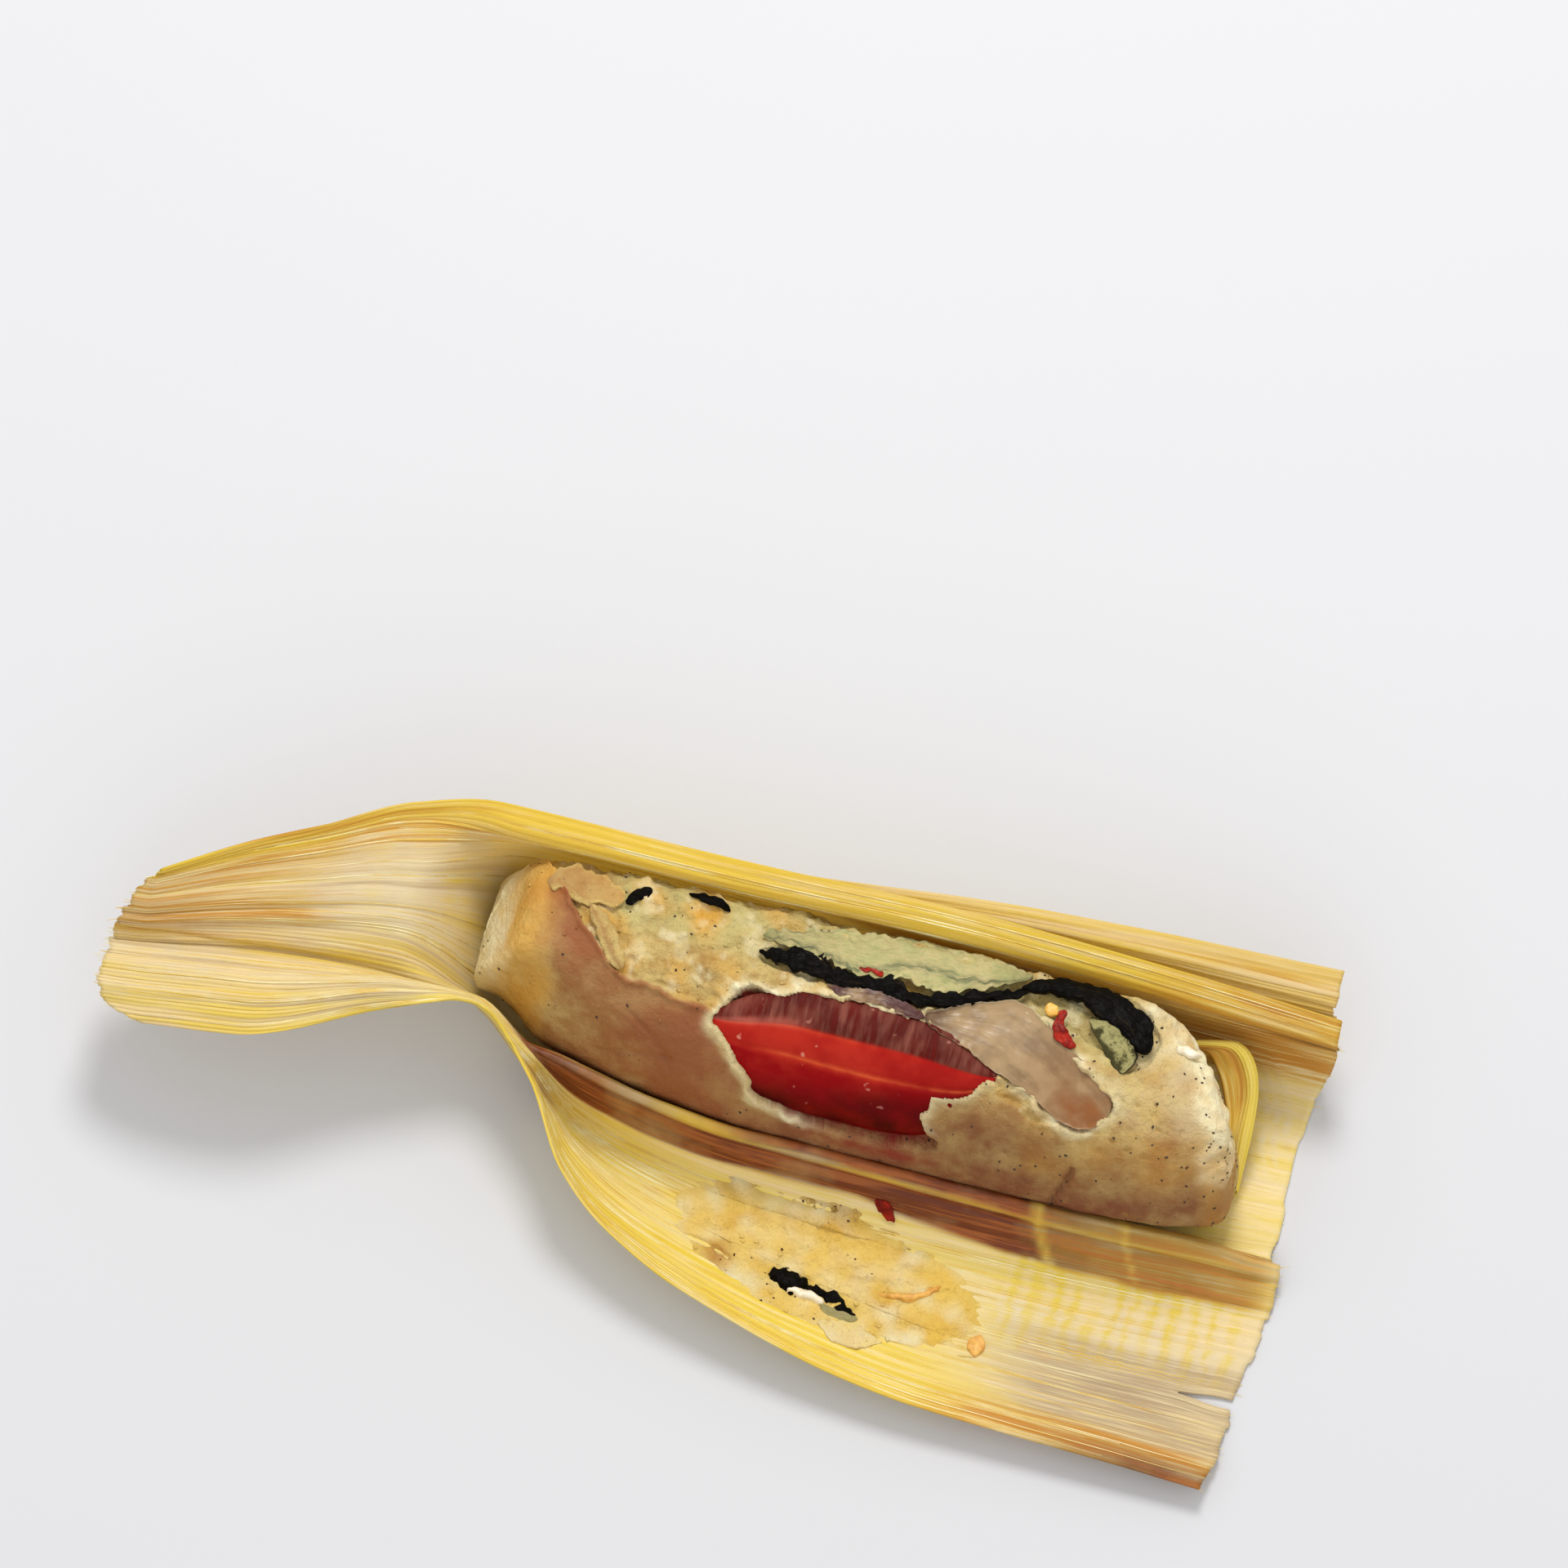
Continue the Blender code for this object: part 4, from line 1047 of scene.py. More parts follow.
def make_outer_leaf(finish):
    """The pleated leaf behind the back wall."""
    columns, rows = 130, 100
    along, across = pairs(np.linspace(0, 1, columns), np.linspace(0, 1, rows))
    ragged = along * (1 - 0.012 * fray(across * 0.4, 41) * along)
    pleat = across * OUTER_PLEATS + 0.6 * stretched(along, 0.4, across, 0.2, 42)
    height = HUSK_THICKNESS / 2 + 0.16 * np.cos(tau * pleat) * (0.3 + 0.7 * along)
    height += 0.1 * np.cos(tau * across * OUTER_RIBS) + 0.3 * stretched(along, 0.2, across, 0.16, 43)
    points = raised(outer_leaf_at, ragged, across, height)
    slow = stretched(along, 0.25, across, 0.2, 44)
    zones = {
        "gold": 0.55 + 0.5 * slow,
        "amber": 0.3 * ease(along, 0.3, 1) * (0.5 + slow) + 0.4 * bell(across, 0.1, 0.04),
        "white": 0.45 * ease(along, 0.35, 0.9) * (0.6 + slow),
        "brown_and_shade": 0.3 * ease(along, 0.85, 1) * bell(across, 0.5, 0.2),
        "standing": 1,
    }
    fibres = np.column_stack([points[:, 0] / 10, across * 3.4])
    return make_leaf("husk_outer_piece", points, rows, finish, zones, fibres)


def end_curl_at(along, across):
    """Points of the end curl: up from its foot, then over its rolled rim."""
    foot, shelf, inner, outer = (
        np.column_stack([along_shares(along, values) for values in zip(*line)])
        for line in (CURL_FOOT, CURL_SHELF, CURL_INNER, CURL_OUTER)
    )
    top = (inner + outer) / 2 + CURL_RIM_UP
    under = outer - CURL_TURNED_IN
    columns = np.stack([foot, shelf, inner, top, outer, under])
    return np.column_stack([along_shares(across, columns[..., axis]) for axis in range(3)])


def make_end_curl(finish):
    """The strip of husk that curls round the masa's far end."""
    columns, rows = 120, 70
    along, across = pairs(np.linspace(0, 1, columns), np.linspace(0, 1, rows))
    height = 0.07 * np.cos(tau * across * CURL_RIBS) + 0.25 * stretched(along, 0.25, across, 0.4, 51)
    points = raised(end_curl_at, along, across, height)
    zones = {
        "gold": 1,
        # Amber on the inner face, towards the masa, is painted shade; the little white on the rolled top is
        # a painted highlight
        "amber": (1 - ease(across, 0.4, 0.52)) * (1 - 0.6 * ease(along, 0.55, 0.9)),
        "white": 0.1 * bell(across, 0.62, 0.12),
    }
    fibres = np.column_stack([along * 2.8, across * 1.2])
    return make_leaf("husk_curl_strip", points, rows, finish, zones, fibres)


# --- The masa ---------------------------------------------------------------------------------------------

# Outlines on the masa: (x, distance round its section)
TOMATO_OPENING = (
    (-25.2, 27), (-23.9, 30.1), (-22, 34.1), (-19.4, 35), (-15.1, 35.1), (-9.8, 36.5), (-3.9, 36.8),
    (2.5, 36.5), (8.6, 35.9), (14.5, 35.3), (18.5, 33.5), (23, 31.3), (22.8, 28.8), (19.8, 25.5),
    (17.2, 24.3), (14.2, 24.3), (13.7, 21.2), (13.2, 19.2), (14.5, 16.9), (17.2, 14.7), (16.1, 13.2),
    (10.5, 12.1), (2.8, 11.9), (-7.6, 12.5), (-15.6, 15.3), (-16.2, 17.4), (-18.6, 20.1), (-21, 22.6),
    (-22.8, 25.1),
)
ONION_OPENING = (
    (10, 38.4), (14, 39.9), (19, 41.9), (24, 43.1), (29, 41.6), (34.5, 37.6), (39.2, 34.7), (44.4, 31.6),
    (44.4, 29), (43.2, 26.6), (40, 23.9), (36.5, 25), (32, 27.6), (27.5, 29.8), (23, 31.4), (18.5, 33.4),
    (14, 34.8),
)
BLACK_OPENING = (
    (-21, 41.4), (-16, 43.4), (-9, 43.8), (-1, 43.4), (6, 43.2), (13, 43.6), (20, 45.4), (26, 49.6),
    (33, 51.8), (40, 51), (46, 48.6), (50.2, 44), (48.6, 38.8), (45, 36.4), (38, 40.4), (30, 42.8),
    (22, 42.4), (12, 39.2), (2.8, 38.4), (-4.4, 38.6), (-15, 39.2), (-19.8, 40.2),
)
MASA_OPENINGS = ((TOMATO_OPENING, 2.6), (ONION_OPENING, 1.9), (BLACK_OPENING, 1.2))
SKIN_TO = (
    (-62, 58), (-57, 47), (-53.6, 42.6), (-49.5, 38.1), (-46.7, 34.9), (-42.5, 31.7), (-24, 29.9),
    (20, 30), (32, 24), (44, 24), (50, 36), (58, 44), (66, 58),
)
CRACK = ((40.6, 16), (39.6, 12.6), (38.6, 9), (38.1, 5.6))
CREASES = (((-44, 12), (-38, 15.5), (-31, 17)), ((-39, 24), (-34, 20.5), (-31, 15)))
OPENING_RIM, OPENING_RIM_WIDTH, RIMLESS_DEPTH = 0.55, 1.0, 1.5
MASA_SETTLE, TORN_DROP = 0.3, 0.65


def masa_at(place, corner, size=1.0):
    """Points of the masa's smooth form: place is -1 to 1 along it, and corner counts round its section."""
    closing = np.maximum(1 - np.abs(place) ** MASA_END_POWER, 0) ** (1 / MASA_END_POWER)
    size = closing * (1 - MASA_TAPER * place**2) * size
    y, z = (MASA_CENTRE + (closed_at(MASA_SECTION, corner) - MASA_CENTRE) * size[:, None]).T
    x = MASA_MIDDLE_X + MASA_HALF_X * place
    full = MASA_CENTRE[0] - MASA_SECTION[0][0]
    narrowed = (MASA_CENTRE[0] - MASA_FROM_FOLD - through(x, CREST_Y)) / full
    y = np.where(y < MASA_CENTRE[0], MASA_CENTRE[0] + (y - MASA_CENTRE[0]) * narrowed, y)
    z = np.maximum(z, MASA_FOOT_Z)
    left_in = through(z, MASA_LEFT_IN)
    right_in = through(y, MASA_RIGHT_IN) + MASA_RIGHT_LEAN * z / MASA_HEIGHT
    return np.column_stack([x + left_in * ease(-place, 0.4, 1) - right_in * ease(place, 0.6, 1), y, z])


def on_masa(x, girth, lift):
    """Points at a height over the masa, x along it and girth round its section."""
    corner = np.interp(girth, MASA_GIRTH, np.arange(len(MASA_GIRTH)))
    place = (x - MASA_MIDDLE_X) / MASA_HALF_X
    for _ in range(3):
        place = np.clip(place, -MASA_LAST_PLACE, MASA_LAST_PLACE)
        place = place + (x - masa_at(place, corner)[:, 0]) / MASA_HALF_X
    place = np.clip(place, -MASA_LAST_PLACE, MASA_LAST_PLACE)
    return raised(masa_at, place, corner, -lift)


def masa_grid():
    """The places, corners and points of the masa's smooth form, in rings that shrink at each end."""
    stations = MASA_STATIONS + tuple((1 - share, -place) for share, place in MASA_STATIONS[-2::-1])
    caps = np.linspace(0.04, 1, MASA_CAP_COLUMNS, endpoint=False)
    places = through(np.linspace(0, 1, MASA_COLUMNS), stations)
    corners = curve_at(np.linspace(0, 1, MASA_ROWS, endpoint=False), (0, 0.73, 1), (0, 6.1, 10))
    columns = np.concatenate([caps * 0 + places[0], places, caps * 0 + places[-1]])
    shrink = np.concatenate([caps, places * 0 + 1, caps[::-1]])
    place, corner = pairs(columns, corners)
    return place, corner, masa_at(place, corner, np.repeat(shrink, MASA_ROWS))


def openings_at(points, spot):
    """How much of a raised rim and how deep an opening the masa has at each point."""
    rim, sunk = np.zeros(len(points)), np.zeros(len(points))
    teeth = 0.8 * lumps(points, 3.4, 71) + 0.75 * lumps(points, 1.5, 72)
    for outline, depth in MASA_OPENINGS:
        inward = depth_inside(spot, outline) + teeth * 0.75
        rim = np.maximum(rim, bell(inward, -0.45, OPENING_RIM_WIDTH) * (depth > RIMLESS_DEPTH))
        sunk = np.maximum(sunk, depth * ease(inward, -0.1, 0.5))
    x, girth = spot.T
    return rim * (1 - ease(x, -9, -1) * (1 - ease(girth, 15, 19))), sunk


def make_masa(finish):
    """The bar of masa, with its torn top and an opening over each vegetable."""
    place, corner, points = masa_grid()
    normal = grid_normals(points, MASA_ROWS)
    x, girth = points[:, 0], np.interp(corner, np.arange(len(MASA_GIRTH)), MASA_GIRTH)
    spot = np.column_stack([x, girth])

    wave = 1.1 * lumps(points, 4.0, 61) + 0.7 * lumps(points, 1.6, 62)
    past_skin = girth - through(x, SKIN_TO) + wave
    seen = 1 - ease(girth, 56, 60)
    torn = ease(past_skin, -0.3, 0.3) * seen
    flaky = bell(past_skin, -0.6, 0.7) * seen * (1 - ease(x, -34, -20))
    left_torn = 1 - ease(x, 30, 48)
    crumb = 0.5 * lumps(points, 5.5, 66) + 0.34 * lumps(points, 2.6, 67) + 0.3 * lumps(points, 1.3, 68)
    relief = 0.5 * lumps(points, 14, 63) + 0.24 * lumps(points, 5, 64) + 0.12 * lumps(points, 1.8, 65)
    relief += 0.55 * flaky * (1 + lumps(points, 3, 60))
    relief += torn * (crumb * 2.1 - TORN_DROP) * (0.35 + 0.65 * left_torn)
    relief -= 0.9 * bell(from_line(spot, CRACK), 0, 0.5)
    for crease in CREASES:
        relief -= 0.35 * bell(from_line(spot, crease) + 0.3 * wave, 0, 0.5)
    pits = ease(lumps(points, 1.6, 69), 0.45, 0.6) * ease(lumps(points, 8, 70), -0.1, 0.3) * ease(x, -30, 20)
    relief -= 0.35 * pits
    from_left = x - MASA_LEFT_X - MASA_LEFT_IN[3][1]
    from_right = masa_at(place * 0 + MASA_RIGHT_FACE, corner)[:, 0] - x
    broken = band(girth, 20, 50, 5) * (1 - ease(from_right + lumps(points, 4, 75), 2, 6))
    relief += broken * (0.6 * lumps(points, 4.5, 73) + 0.5 * lumps(points, 2, 74))
    rim, sunk = openings_at(points, spot)
    relief += OPENING_RIM * rim * (0.7 + 1.1 * lumps(points, 2.2, 90)) * (1 - ease(sunk, 0, 0.4))
    relief -= MASA_SETTLE + sunk
    points = points + normal * relief[:, None]
    points[:, 2] = np.maximum(points[:, 2], MASA_FOOT_Z - 0.2)

    slow = lumps(points, 15, 91)
    low_front_shade = 1 - ease(girth + 3 * slow - 6 * bell(x, 24, 16), 9, 24)
    near_tomato = ease(depth_inside(spot, TOMATO_OPENING), -0.6, 0.6)
    in_hook = band(x, 25, 43, 3) * band(girth, 38, 47, 2)
    from_left = from_left + 1.8 * slow + 1.3 * lumps(points, 5, 94) + 0.6 * lumps(points, 2, 95)
    past_end = ease(from_left, 5, 19)
    skin = (1 - torn) * (0.85 - 0.6 * ease(x, -24, 26) + 0.4 * slow) * (1 - rim) * past_end
    zones = {
        "skin": skin + 0.8 * band(x, -60, -48, 3) * bell(girth, 45, 3),
        # mauve: painted shade low on the front face by the fold, and in the crack
        "mauve": (0.9 + 0.4 * slow) * ease(x, -34, 0) * low_front_shade
        + 0.5 * bell(from_line(spot, CRACK), 0, 0.8),
        "green": 0.6 * torn * band(x, -44, 30, 8) * band(girth, 42, 56, 4)
        + 0.4 * torn * slow * (1 - ease(x, 10, 40)) + 0.6 * in_hook,
        "gold": 0.75 * band(from_left, 4, 10, 5) * (1 - torn) + 0.25 * pits + 0.4 * broken
        + torn * (0.15 + 1.1 * lumps(points, 6, 92)) * (1 - in_hook)
        + 0.35 * (1 - ease(from_right, 1, 5)) * (1 - ease(girth, 18, 26))
        + 0.4 * band(x, 34, 60, 6) * band(girth, 16, 36, 5) * (0.6 + lumps(points, 7, 99)),
        "white": 0.75 * (1 - ease(from_left, 2.5, 7)) + 0.5 * broken * (1 + lumps(points, 3, 93)) + 0.6 * rim
        + 0.5 * band(x, 46, 66, 5) * band(girth, 30, 50, 5) * (0.8 + lumps(points, 5, 98))
        + 0.55 * torn * left_torn * ease(lumps(points, 3.6, 96) + 0.5 * lumps(points, 1.4, 97), 0, 0.5),
        "red": near_tomato * ease(sunk, 0.8, 2.0) + 0.7 * band(x, -4, 14, 5) * bell(girth, 10.2, 1.5)
        + 0.4 * band(x, -57, -50, 2) * bell(girth, 44.5, 1.6),
    }
    return make_body("masa_bar", points, MASA_ROWS, finish, zones)


# --- Morsels on the masa and on the flap -------------------------------------------------------------------

# Each lies between two lines, given from its left end to its right as (x, girth) on the masa
LONG_STRIP = (
    (
        (-20.6, 41.8), (-16, 43.1), (-9.6, 43.2), (-6.8, 41), (-1.5, 41.4), (4.2, 42.2), (7, 40.9),
        (13, 42.2), (19.5, 44), (26, 47.5),
    ),
    (
        (-20.2, 40.8), (-15.6, 39.6), (-9.4, 39.5), (-5.8, 39), (-0.6, 39.5), (4.6, 39.1), (8.4, 39.1),
        (13.6, 40.1), (19.8, 42.2), (26.5, 44.4),
    ),
)
HOOK_STRIP = (
    ((24.5, 46.8), (28.4, 49), (33.2, 50.8), (39.3, 50.6), (44.6, 48.3), (48.6, 45.4), (50.1, 42)),
    ((25, 45.2), (29.5, 46.2), (33.6, 46.4), (37.6, 45.4), (41.7, 43.7), (45, 41.2), (47, 39.2)),
)
HOOK_INNER = (
    ((37, 44.8), (41.5, 44.2), (45.2, 42.8), (47, 39.4), (46.2, 36.8)),
    ((37.6, 42.4), (40, 40.4), (42, 38.4), (43.2, 36.9), (44.4, 35.6)),
)
BROWN_STRIP = (
    ((-7.8, 38.9), (-4.4, 38.9), (-0.2, 39.4), (2.5, 39.6), (6.5, 38.8), (10.2, 37.7)),
    ((-7.3, 37.7), (-4.2, 36.9), (-0.4, 37.2), (2.2, 37.4), (5.4, 36.6), (9.7, 36.4)),
)
FLESH = (
    ((-21, 44.8), (-12.4, 47.6), (-3.4, 49.4), (6.5, 51.2), (14.8, 52), (27, 50.6)),
    ((-20, 43.2), (-12, 43.2), (-4, 41.4), (5, 42.2), (13, 42.2), (25, 46.4)),
)
ONION_SLICE = (
    ((9.5, 38.4), (14, 39.9), (19, 42.2), (24, 43.6), (29, 42.2), (34.5, 38.4), (39.6, 35.8), (46, 32.2)),
    ((10.5, 35.8), (14, 35), (18.5, 33.6), (23, 31.6), (27.5, 29.9), (32, 27.8), (36.5, 25.2), (42.6, 23.4)),
)
CORNER_SKIN = (
    ((-59, 46.6), (-55.3, 49.6), (-50, 48.2), (-44.5, 45.8)),
    ((-58.4, 45), (-55.5, 43.8), (-51.1, 42.4), (-45.7, 42.4)),
)
TORN_CURL = (((-49.6, 43), (-45.4, 38.6), (-41.3, 33.8)), ((-51.2, 41.6), (-47.8, 36.8), (-43.6, 31.4)))
RED_FLECK = (((-3.2, 42.8), (-1, 43.2), (1.2, 43)), ((-2.8, 42), (-0.8, 42.1), (1.3, 42.2)))
BLACK_BIT = (((-45.2, 44.4), (-43.6, 46.6), (-40.9, 47.8)), ((-44.2, 43.4), (-42.6, 44.6), (-40.6, 46)))
DARK_BIT = (
    ((-34.8, 48.6), (-32.1, 49), (-29.4, 48.8), (-26.6, 47)),
    ((-34.4, 47.9), (-32.4, 47.5), (-29.6, 47.1), (-27.2, 46.4)),
)
CHILLI_BIT = (((33.4, 44.4), (33.8, 41.4), (36.9, 38.4)), ((31.6, 44), (31.5, 40.6), (34.2, 37.6)))
YELLOW_BIT = (((29.5, 44.6), (31, 44.8), (32, 43.8)), ((29.4, 43), (30.6, 42.4), (31.8, 42.6)))
WHITE_FLAKE = (((53.6, 43.8), (55.2, 44.7), (57, 44.6)), ((53.8, 42.6), (55.6, 42.8), (57.2, 43.6)))
# The rest lie on the flap, as (x, y)
SCRAP_LEFT = (
    ((-6.6, -36.4), (-4.6, -34.9), (-2, -35.6), (0.9, -36.6)),
    ((-6.2, -37.4), (-5, -38.6), (-2.4, -39.2), (0.7, -38.2)),
)
SCRAP_RIGHT = (
    ((0, -36.7), (3.1, -36.7), (6.5, -37.6), (10.2, -39.8)),
    ((0.4, -38), (4.2, -39.2), (7.1, -40.6), (9.9, -41.2)),
)
SCRAP_FLESH = (((3.4, -39.4), (7, -40), (10.6, -40.2)), ((3.8, -41), (7.2, -42), (10.4, -41.6)))
SCRAP_PALE = (((-2.8, -38.6), (0.9, -38), (4.2, -39)), ((-2.2, -39.8), (1.2, -39.8), (4, -40.4)))
PALE_DISC = (
    ((3.4, -42.4), (7, -41.4), (11, -41.8), (15.8, -43.2)),
    ((4.4, -44.2), (7.6, -46.4), (11.4, -46.5), (15.4, -44.2)),
)
# Painted shadow on the flap: an amber arc laid where a small ledge of the stuck masa casts its shadow
LEDGE_SHADOW_ARC = (
    ((12.2, -34.6), (16.8, -34.1), (20.2, -32.6), (23, -30.4)),
    ((12.6, -35.5), (17, -35.3), (20.8, -33.9), (23.4, -31.4)),
)
AMBER_SPOT = (((29.8, -38.8), (31.4, -38), (33, -38.6)), ((29.8, -41), (31.2, -41.8), (32.8, -41)))
RED_SCRAP = (((8.2, -19.4), (10.2, -19.2), (12.6, -21.4)), ((8.8, -20.6), (10.6, -21.8), (12.4, -22.6)))


def plain(along, aside):
    """No zones of colour."""
    return {}


def make_morsel(
    name, lines, finish, seed, lift, sunk, ragged=0.5, rough=0.3, blunt=6.0, surface=on_masa, zones=plain
):
    """A thin body that lies on a surface between two lines.

    It stands lift over the surface and goes sunk under it. Its edges wander by ragged, its top by rough, and
    its ends are the squarer the higher blunt is. Zones gives its colours from places along and aside.
    """
    span = np.ptp([point[0] for point in lines[0]])
    columns, rows = int(24 + span * 2.2), 40
    shares = 0.5 + 0.4985 * np.sin(np.linspace(-1, 1, columns) * pi / 2)
    along, turn = pairs(shares, np.linspace(0, tau, rows, endpoint=False))
    aside, over = np.cos(turn), np.sin(turn)
    size = (1 - np.abs(2 * along - 1) ** blunt) ** 0.5
    upper, lower = (np.column_stack([along_shares(along, side) for side in zip(*line)]) for line in lines)
    middle, half = (upper + lower) / 2, (upper - lower) / 2
    spot = middle + half * (aside * size)[:, None]
    outward = half / np.linalg.norm(half, axis=1, keepdims=True)
    wander = lumps(middle + outward * 3 * np.sign(aside)[:, None], 2.6, seed) + lumps(spot, 1.1, seed + 1)
    spot = spot + outward * (ragged * wander * aside * size)[:, None]
    height = np.where(over > 0, lift, sunk) * np.sign(over) * np.abs(over) ** 0.6 * (0.3 + 0.7 * size)
    height += rough * (lumps(spot, 2.2, seed + 2) + 0.6 * lumps(spot, 0.9, seed + 3)) * (over > 0)
    fibres = np.column_stack([along * span / 10, (1 + aside) / 2])
    return make_body(name, surface(*spot.T, height), rows, finish, zones(along, aside), fibres)


def make_tomato(finish):
    """The tomato wedge: a cut face above its ridge, and skin below it."""
    columns, rows = 150, 120
    middle_x, half_length = (TOMATO_FROM_X + TOMATO_TO_X) / 2, (TOMATO_TO_X - TOMATO_FROM_X) / 2
    shares = np.sin(np.linspace(-1, 1, columns) * pi / 2) * 0.998
    share, corner = pairs(shares, np.linspace(0, len(TOMATO_SECTION), rows, endpoint=False))
    x = middle_x + half_length * share
    size = (1 - np.abs(share) ** TOMATO_TAPER) ** TOMATO_POINT
    ridge = np.column_stack([through(x, TOMATO_RIDGE_Y), through(x, TOMATO_RIDGE_Z) - 0.3])
    points = np.column_stack([x, closed_at(TOMATO_SECTION, corner) * size[:, None] + ridge])
    relief = 0.1 * bell(corner, TOMATO_CUT_TO, 0.08) + 0.12 * bell(corner, TOMATO_LINE, 0.1)
    relief += 0.25 * lumps(points, 9, 101) + 0.08 * lumps(points, 2.5, 102) - 0.2 * bell(corner, 1, 0.3)
    relief += 0.06 * lumps(points / (1, 6, 6), 0.8, 103) * (corner < 1)
    points = points + grid_normals(points, rows) * relief[:, None]
    zones = {
        "cut": 1 - ease(corner, TOMATO_CUT_TO - 0.08, TOMATO_CUT_TO) + ease(corner, 7.2, 7.6),
        "bright": band(corner, TOMATO_CUT_TO, TOMATO_LINE, 0.25) * (0.95 - 0.6 * ease(x, -2, 18)),
        "dark": 0.95 * ease(corner + 0.03 * x, 2.4, 3.6) * (1 - ease(corner, 7, 7.4)),
        # line: painted highlight lines, orange, along the wedge's two edges
        "line": 0.35 * bell(corner, TOMATO_CUT_TO + 0.03, 0.05) * (1 - ease(x, -6, 8))
        + 0.8 * bell(corner, TOMATO_LINE, 0.05) * ease(x, -20, -6),
        # pink: a painted highlight along the cut face's lower edge
        "pink": 0.75 * bell(corner, TOMATO_CUT_TO - 0.1, 0.16) * (1 - ease(x, -18, -6)),
    }
    return make_body("tomato_wedge", points, rows, finish, zones)


SMEAR_RIDGES = (
    (((-20.9, -33.7), (-17, -34.4), (-13.9, -35.9)), -0.7, 0.5),
    (((8, -33), (16, -31.6), (25, -31)), 0.45, 0.7),
    (((16.8, -42.8), (25.9, -44.2), (31, -42.4), (32.1, -40.4)), 0.5, 0.8),
    (((-20, -30), (-12, -27.4), (-4, -27)), 0.5, 0.9),
    (((-6, -24.4), (6, -25.6), (18, -28.4)), 0.6, 1.0),
    (((12, -36.8), (20, -38.4), (28, -37.6)), 0.5, 1.1),
)


def make_smear(finish):
    """Masa left stuck on the opened flap: thin, crumbly and ragged, with a few raised edges."""
    columns, rows = 84, 250
    edge = closed_at(SMEAR_OUTLINE, np.linspace(0, len(SMEAR_OUTLINE), rows, endpoint=False))
    out = edge - SMEAR_MIDDLE
    wander = 1.1 * lumps(edge, 4, 141) + 0.7 * lumps(edge, 1.5, 142)
    edge = edge + out / np.linalg.norm(out, axis=1, keepdims=True) * wander[:, None]
    underside = 1.0, 0.6, 0.05
    sizes = np.concatenate([np.linspace(0.02, 1, columns), underside])
    size, turn = pairs(sizes, np.arange(rows))
    spot = SMEAR_MIDDLE + (edge[turn] - SMEAR_MIDDLE) * size[:, None]
    x, y = spot.T
    left = 1 - ease(x, -22, 8)
    crumb = 0.55 * lumps(spot, 6, 143) + 0.3 * lumps(spot, 1.1, 145)
    crumb += (0.4 + 0.35 * left) * lumps(spot, 2.4, 144)
    lift = (1.0 + 0.3 * left) * (1 - size**4) ** 0.8 + crumb * (1 - size**6) - SMEAR_SUNK
    ridged = np.zeros(len(x))
    for line, rise, width in SMEAR_RIDGES:
        near = bell(from_line(spot, line) + 0.3 * crumb, 0, width)
        lift += rise * near
        ridged += near
    upper = np.repeat(np.arange(len(sizes)) < columns, rows)
    slow = lumps(spot, 7, 146)
    zones = {
        "gold": 0.6 + 0.6 * slow - 0.2 * left,
        "white": 0.15 + 0.8 * lumps(spot, 4, 148) + 0.15 * left,
        "skin": 0.2 * ridged + 0.45 * bell(np.hypot(x + 15.5, y + 36.5), 0, 3.2),
        "red": 0.25 * bell(np.hypot(x + 15, y + 35.5), 0, 2.6)
        + 0.35 * bell(np.hypot((x - 8) / 2, y + 22.5), 0, 2.2),
        # mauve: painted shadow of the lip along the smear's upper side
        "mauve": 0.5 * band(x, -16, 22, 5) * ease(y, -27, -22.5) * (0.8 + slow),
    }
    points = flap_top(x, y, np.where(upper, lift, -SMEAR_SUNK))
    return make_body("masa_smear_patch", points, rows, finish, zones)


# --- The stage --------------------------------------------------------------------------------------------

CAMERA_AZIMUTH, CAMERA_ELEVATION = 14.5, 76.0
CAMERA_DISTANCE, CAMERA_LENS = 4.0, 531.8
CAMERA_AIM = Vector((-25.5, 48.5, 0)) * MM
KEY_FROM = Vector((-0.107, 0.695, 1.0)).normalized()
KEY_POWER, FILL_POWER, SKY_STRENGTH = 8.6, 1.9, 0.86


def aimed(thing, place, at):
    """Puts a camera or a light at a place, facing a point."""
    thing.location = place
    thing.rotation_euler = (Vector(at) - Vector(place)).to_track_quat("-Z", "Y").to_euler()
    bpy.context.scene.collection.objects.link(thing)
    return thing


def disk_light(name, size, power, colour, place):
    light = bpy.data.lights.new(name, "AREA")
    light.shape, light.size, light.energy, light.color = "DISK", size, power, colour
    aimed(bpy.data.objects.new(name, light), place, (0, 0, 0))


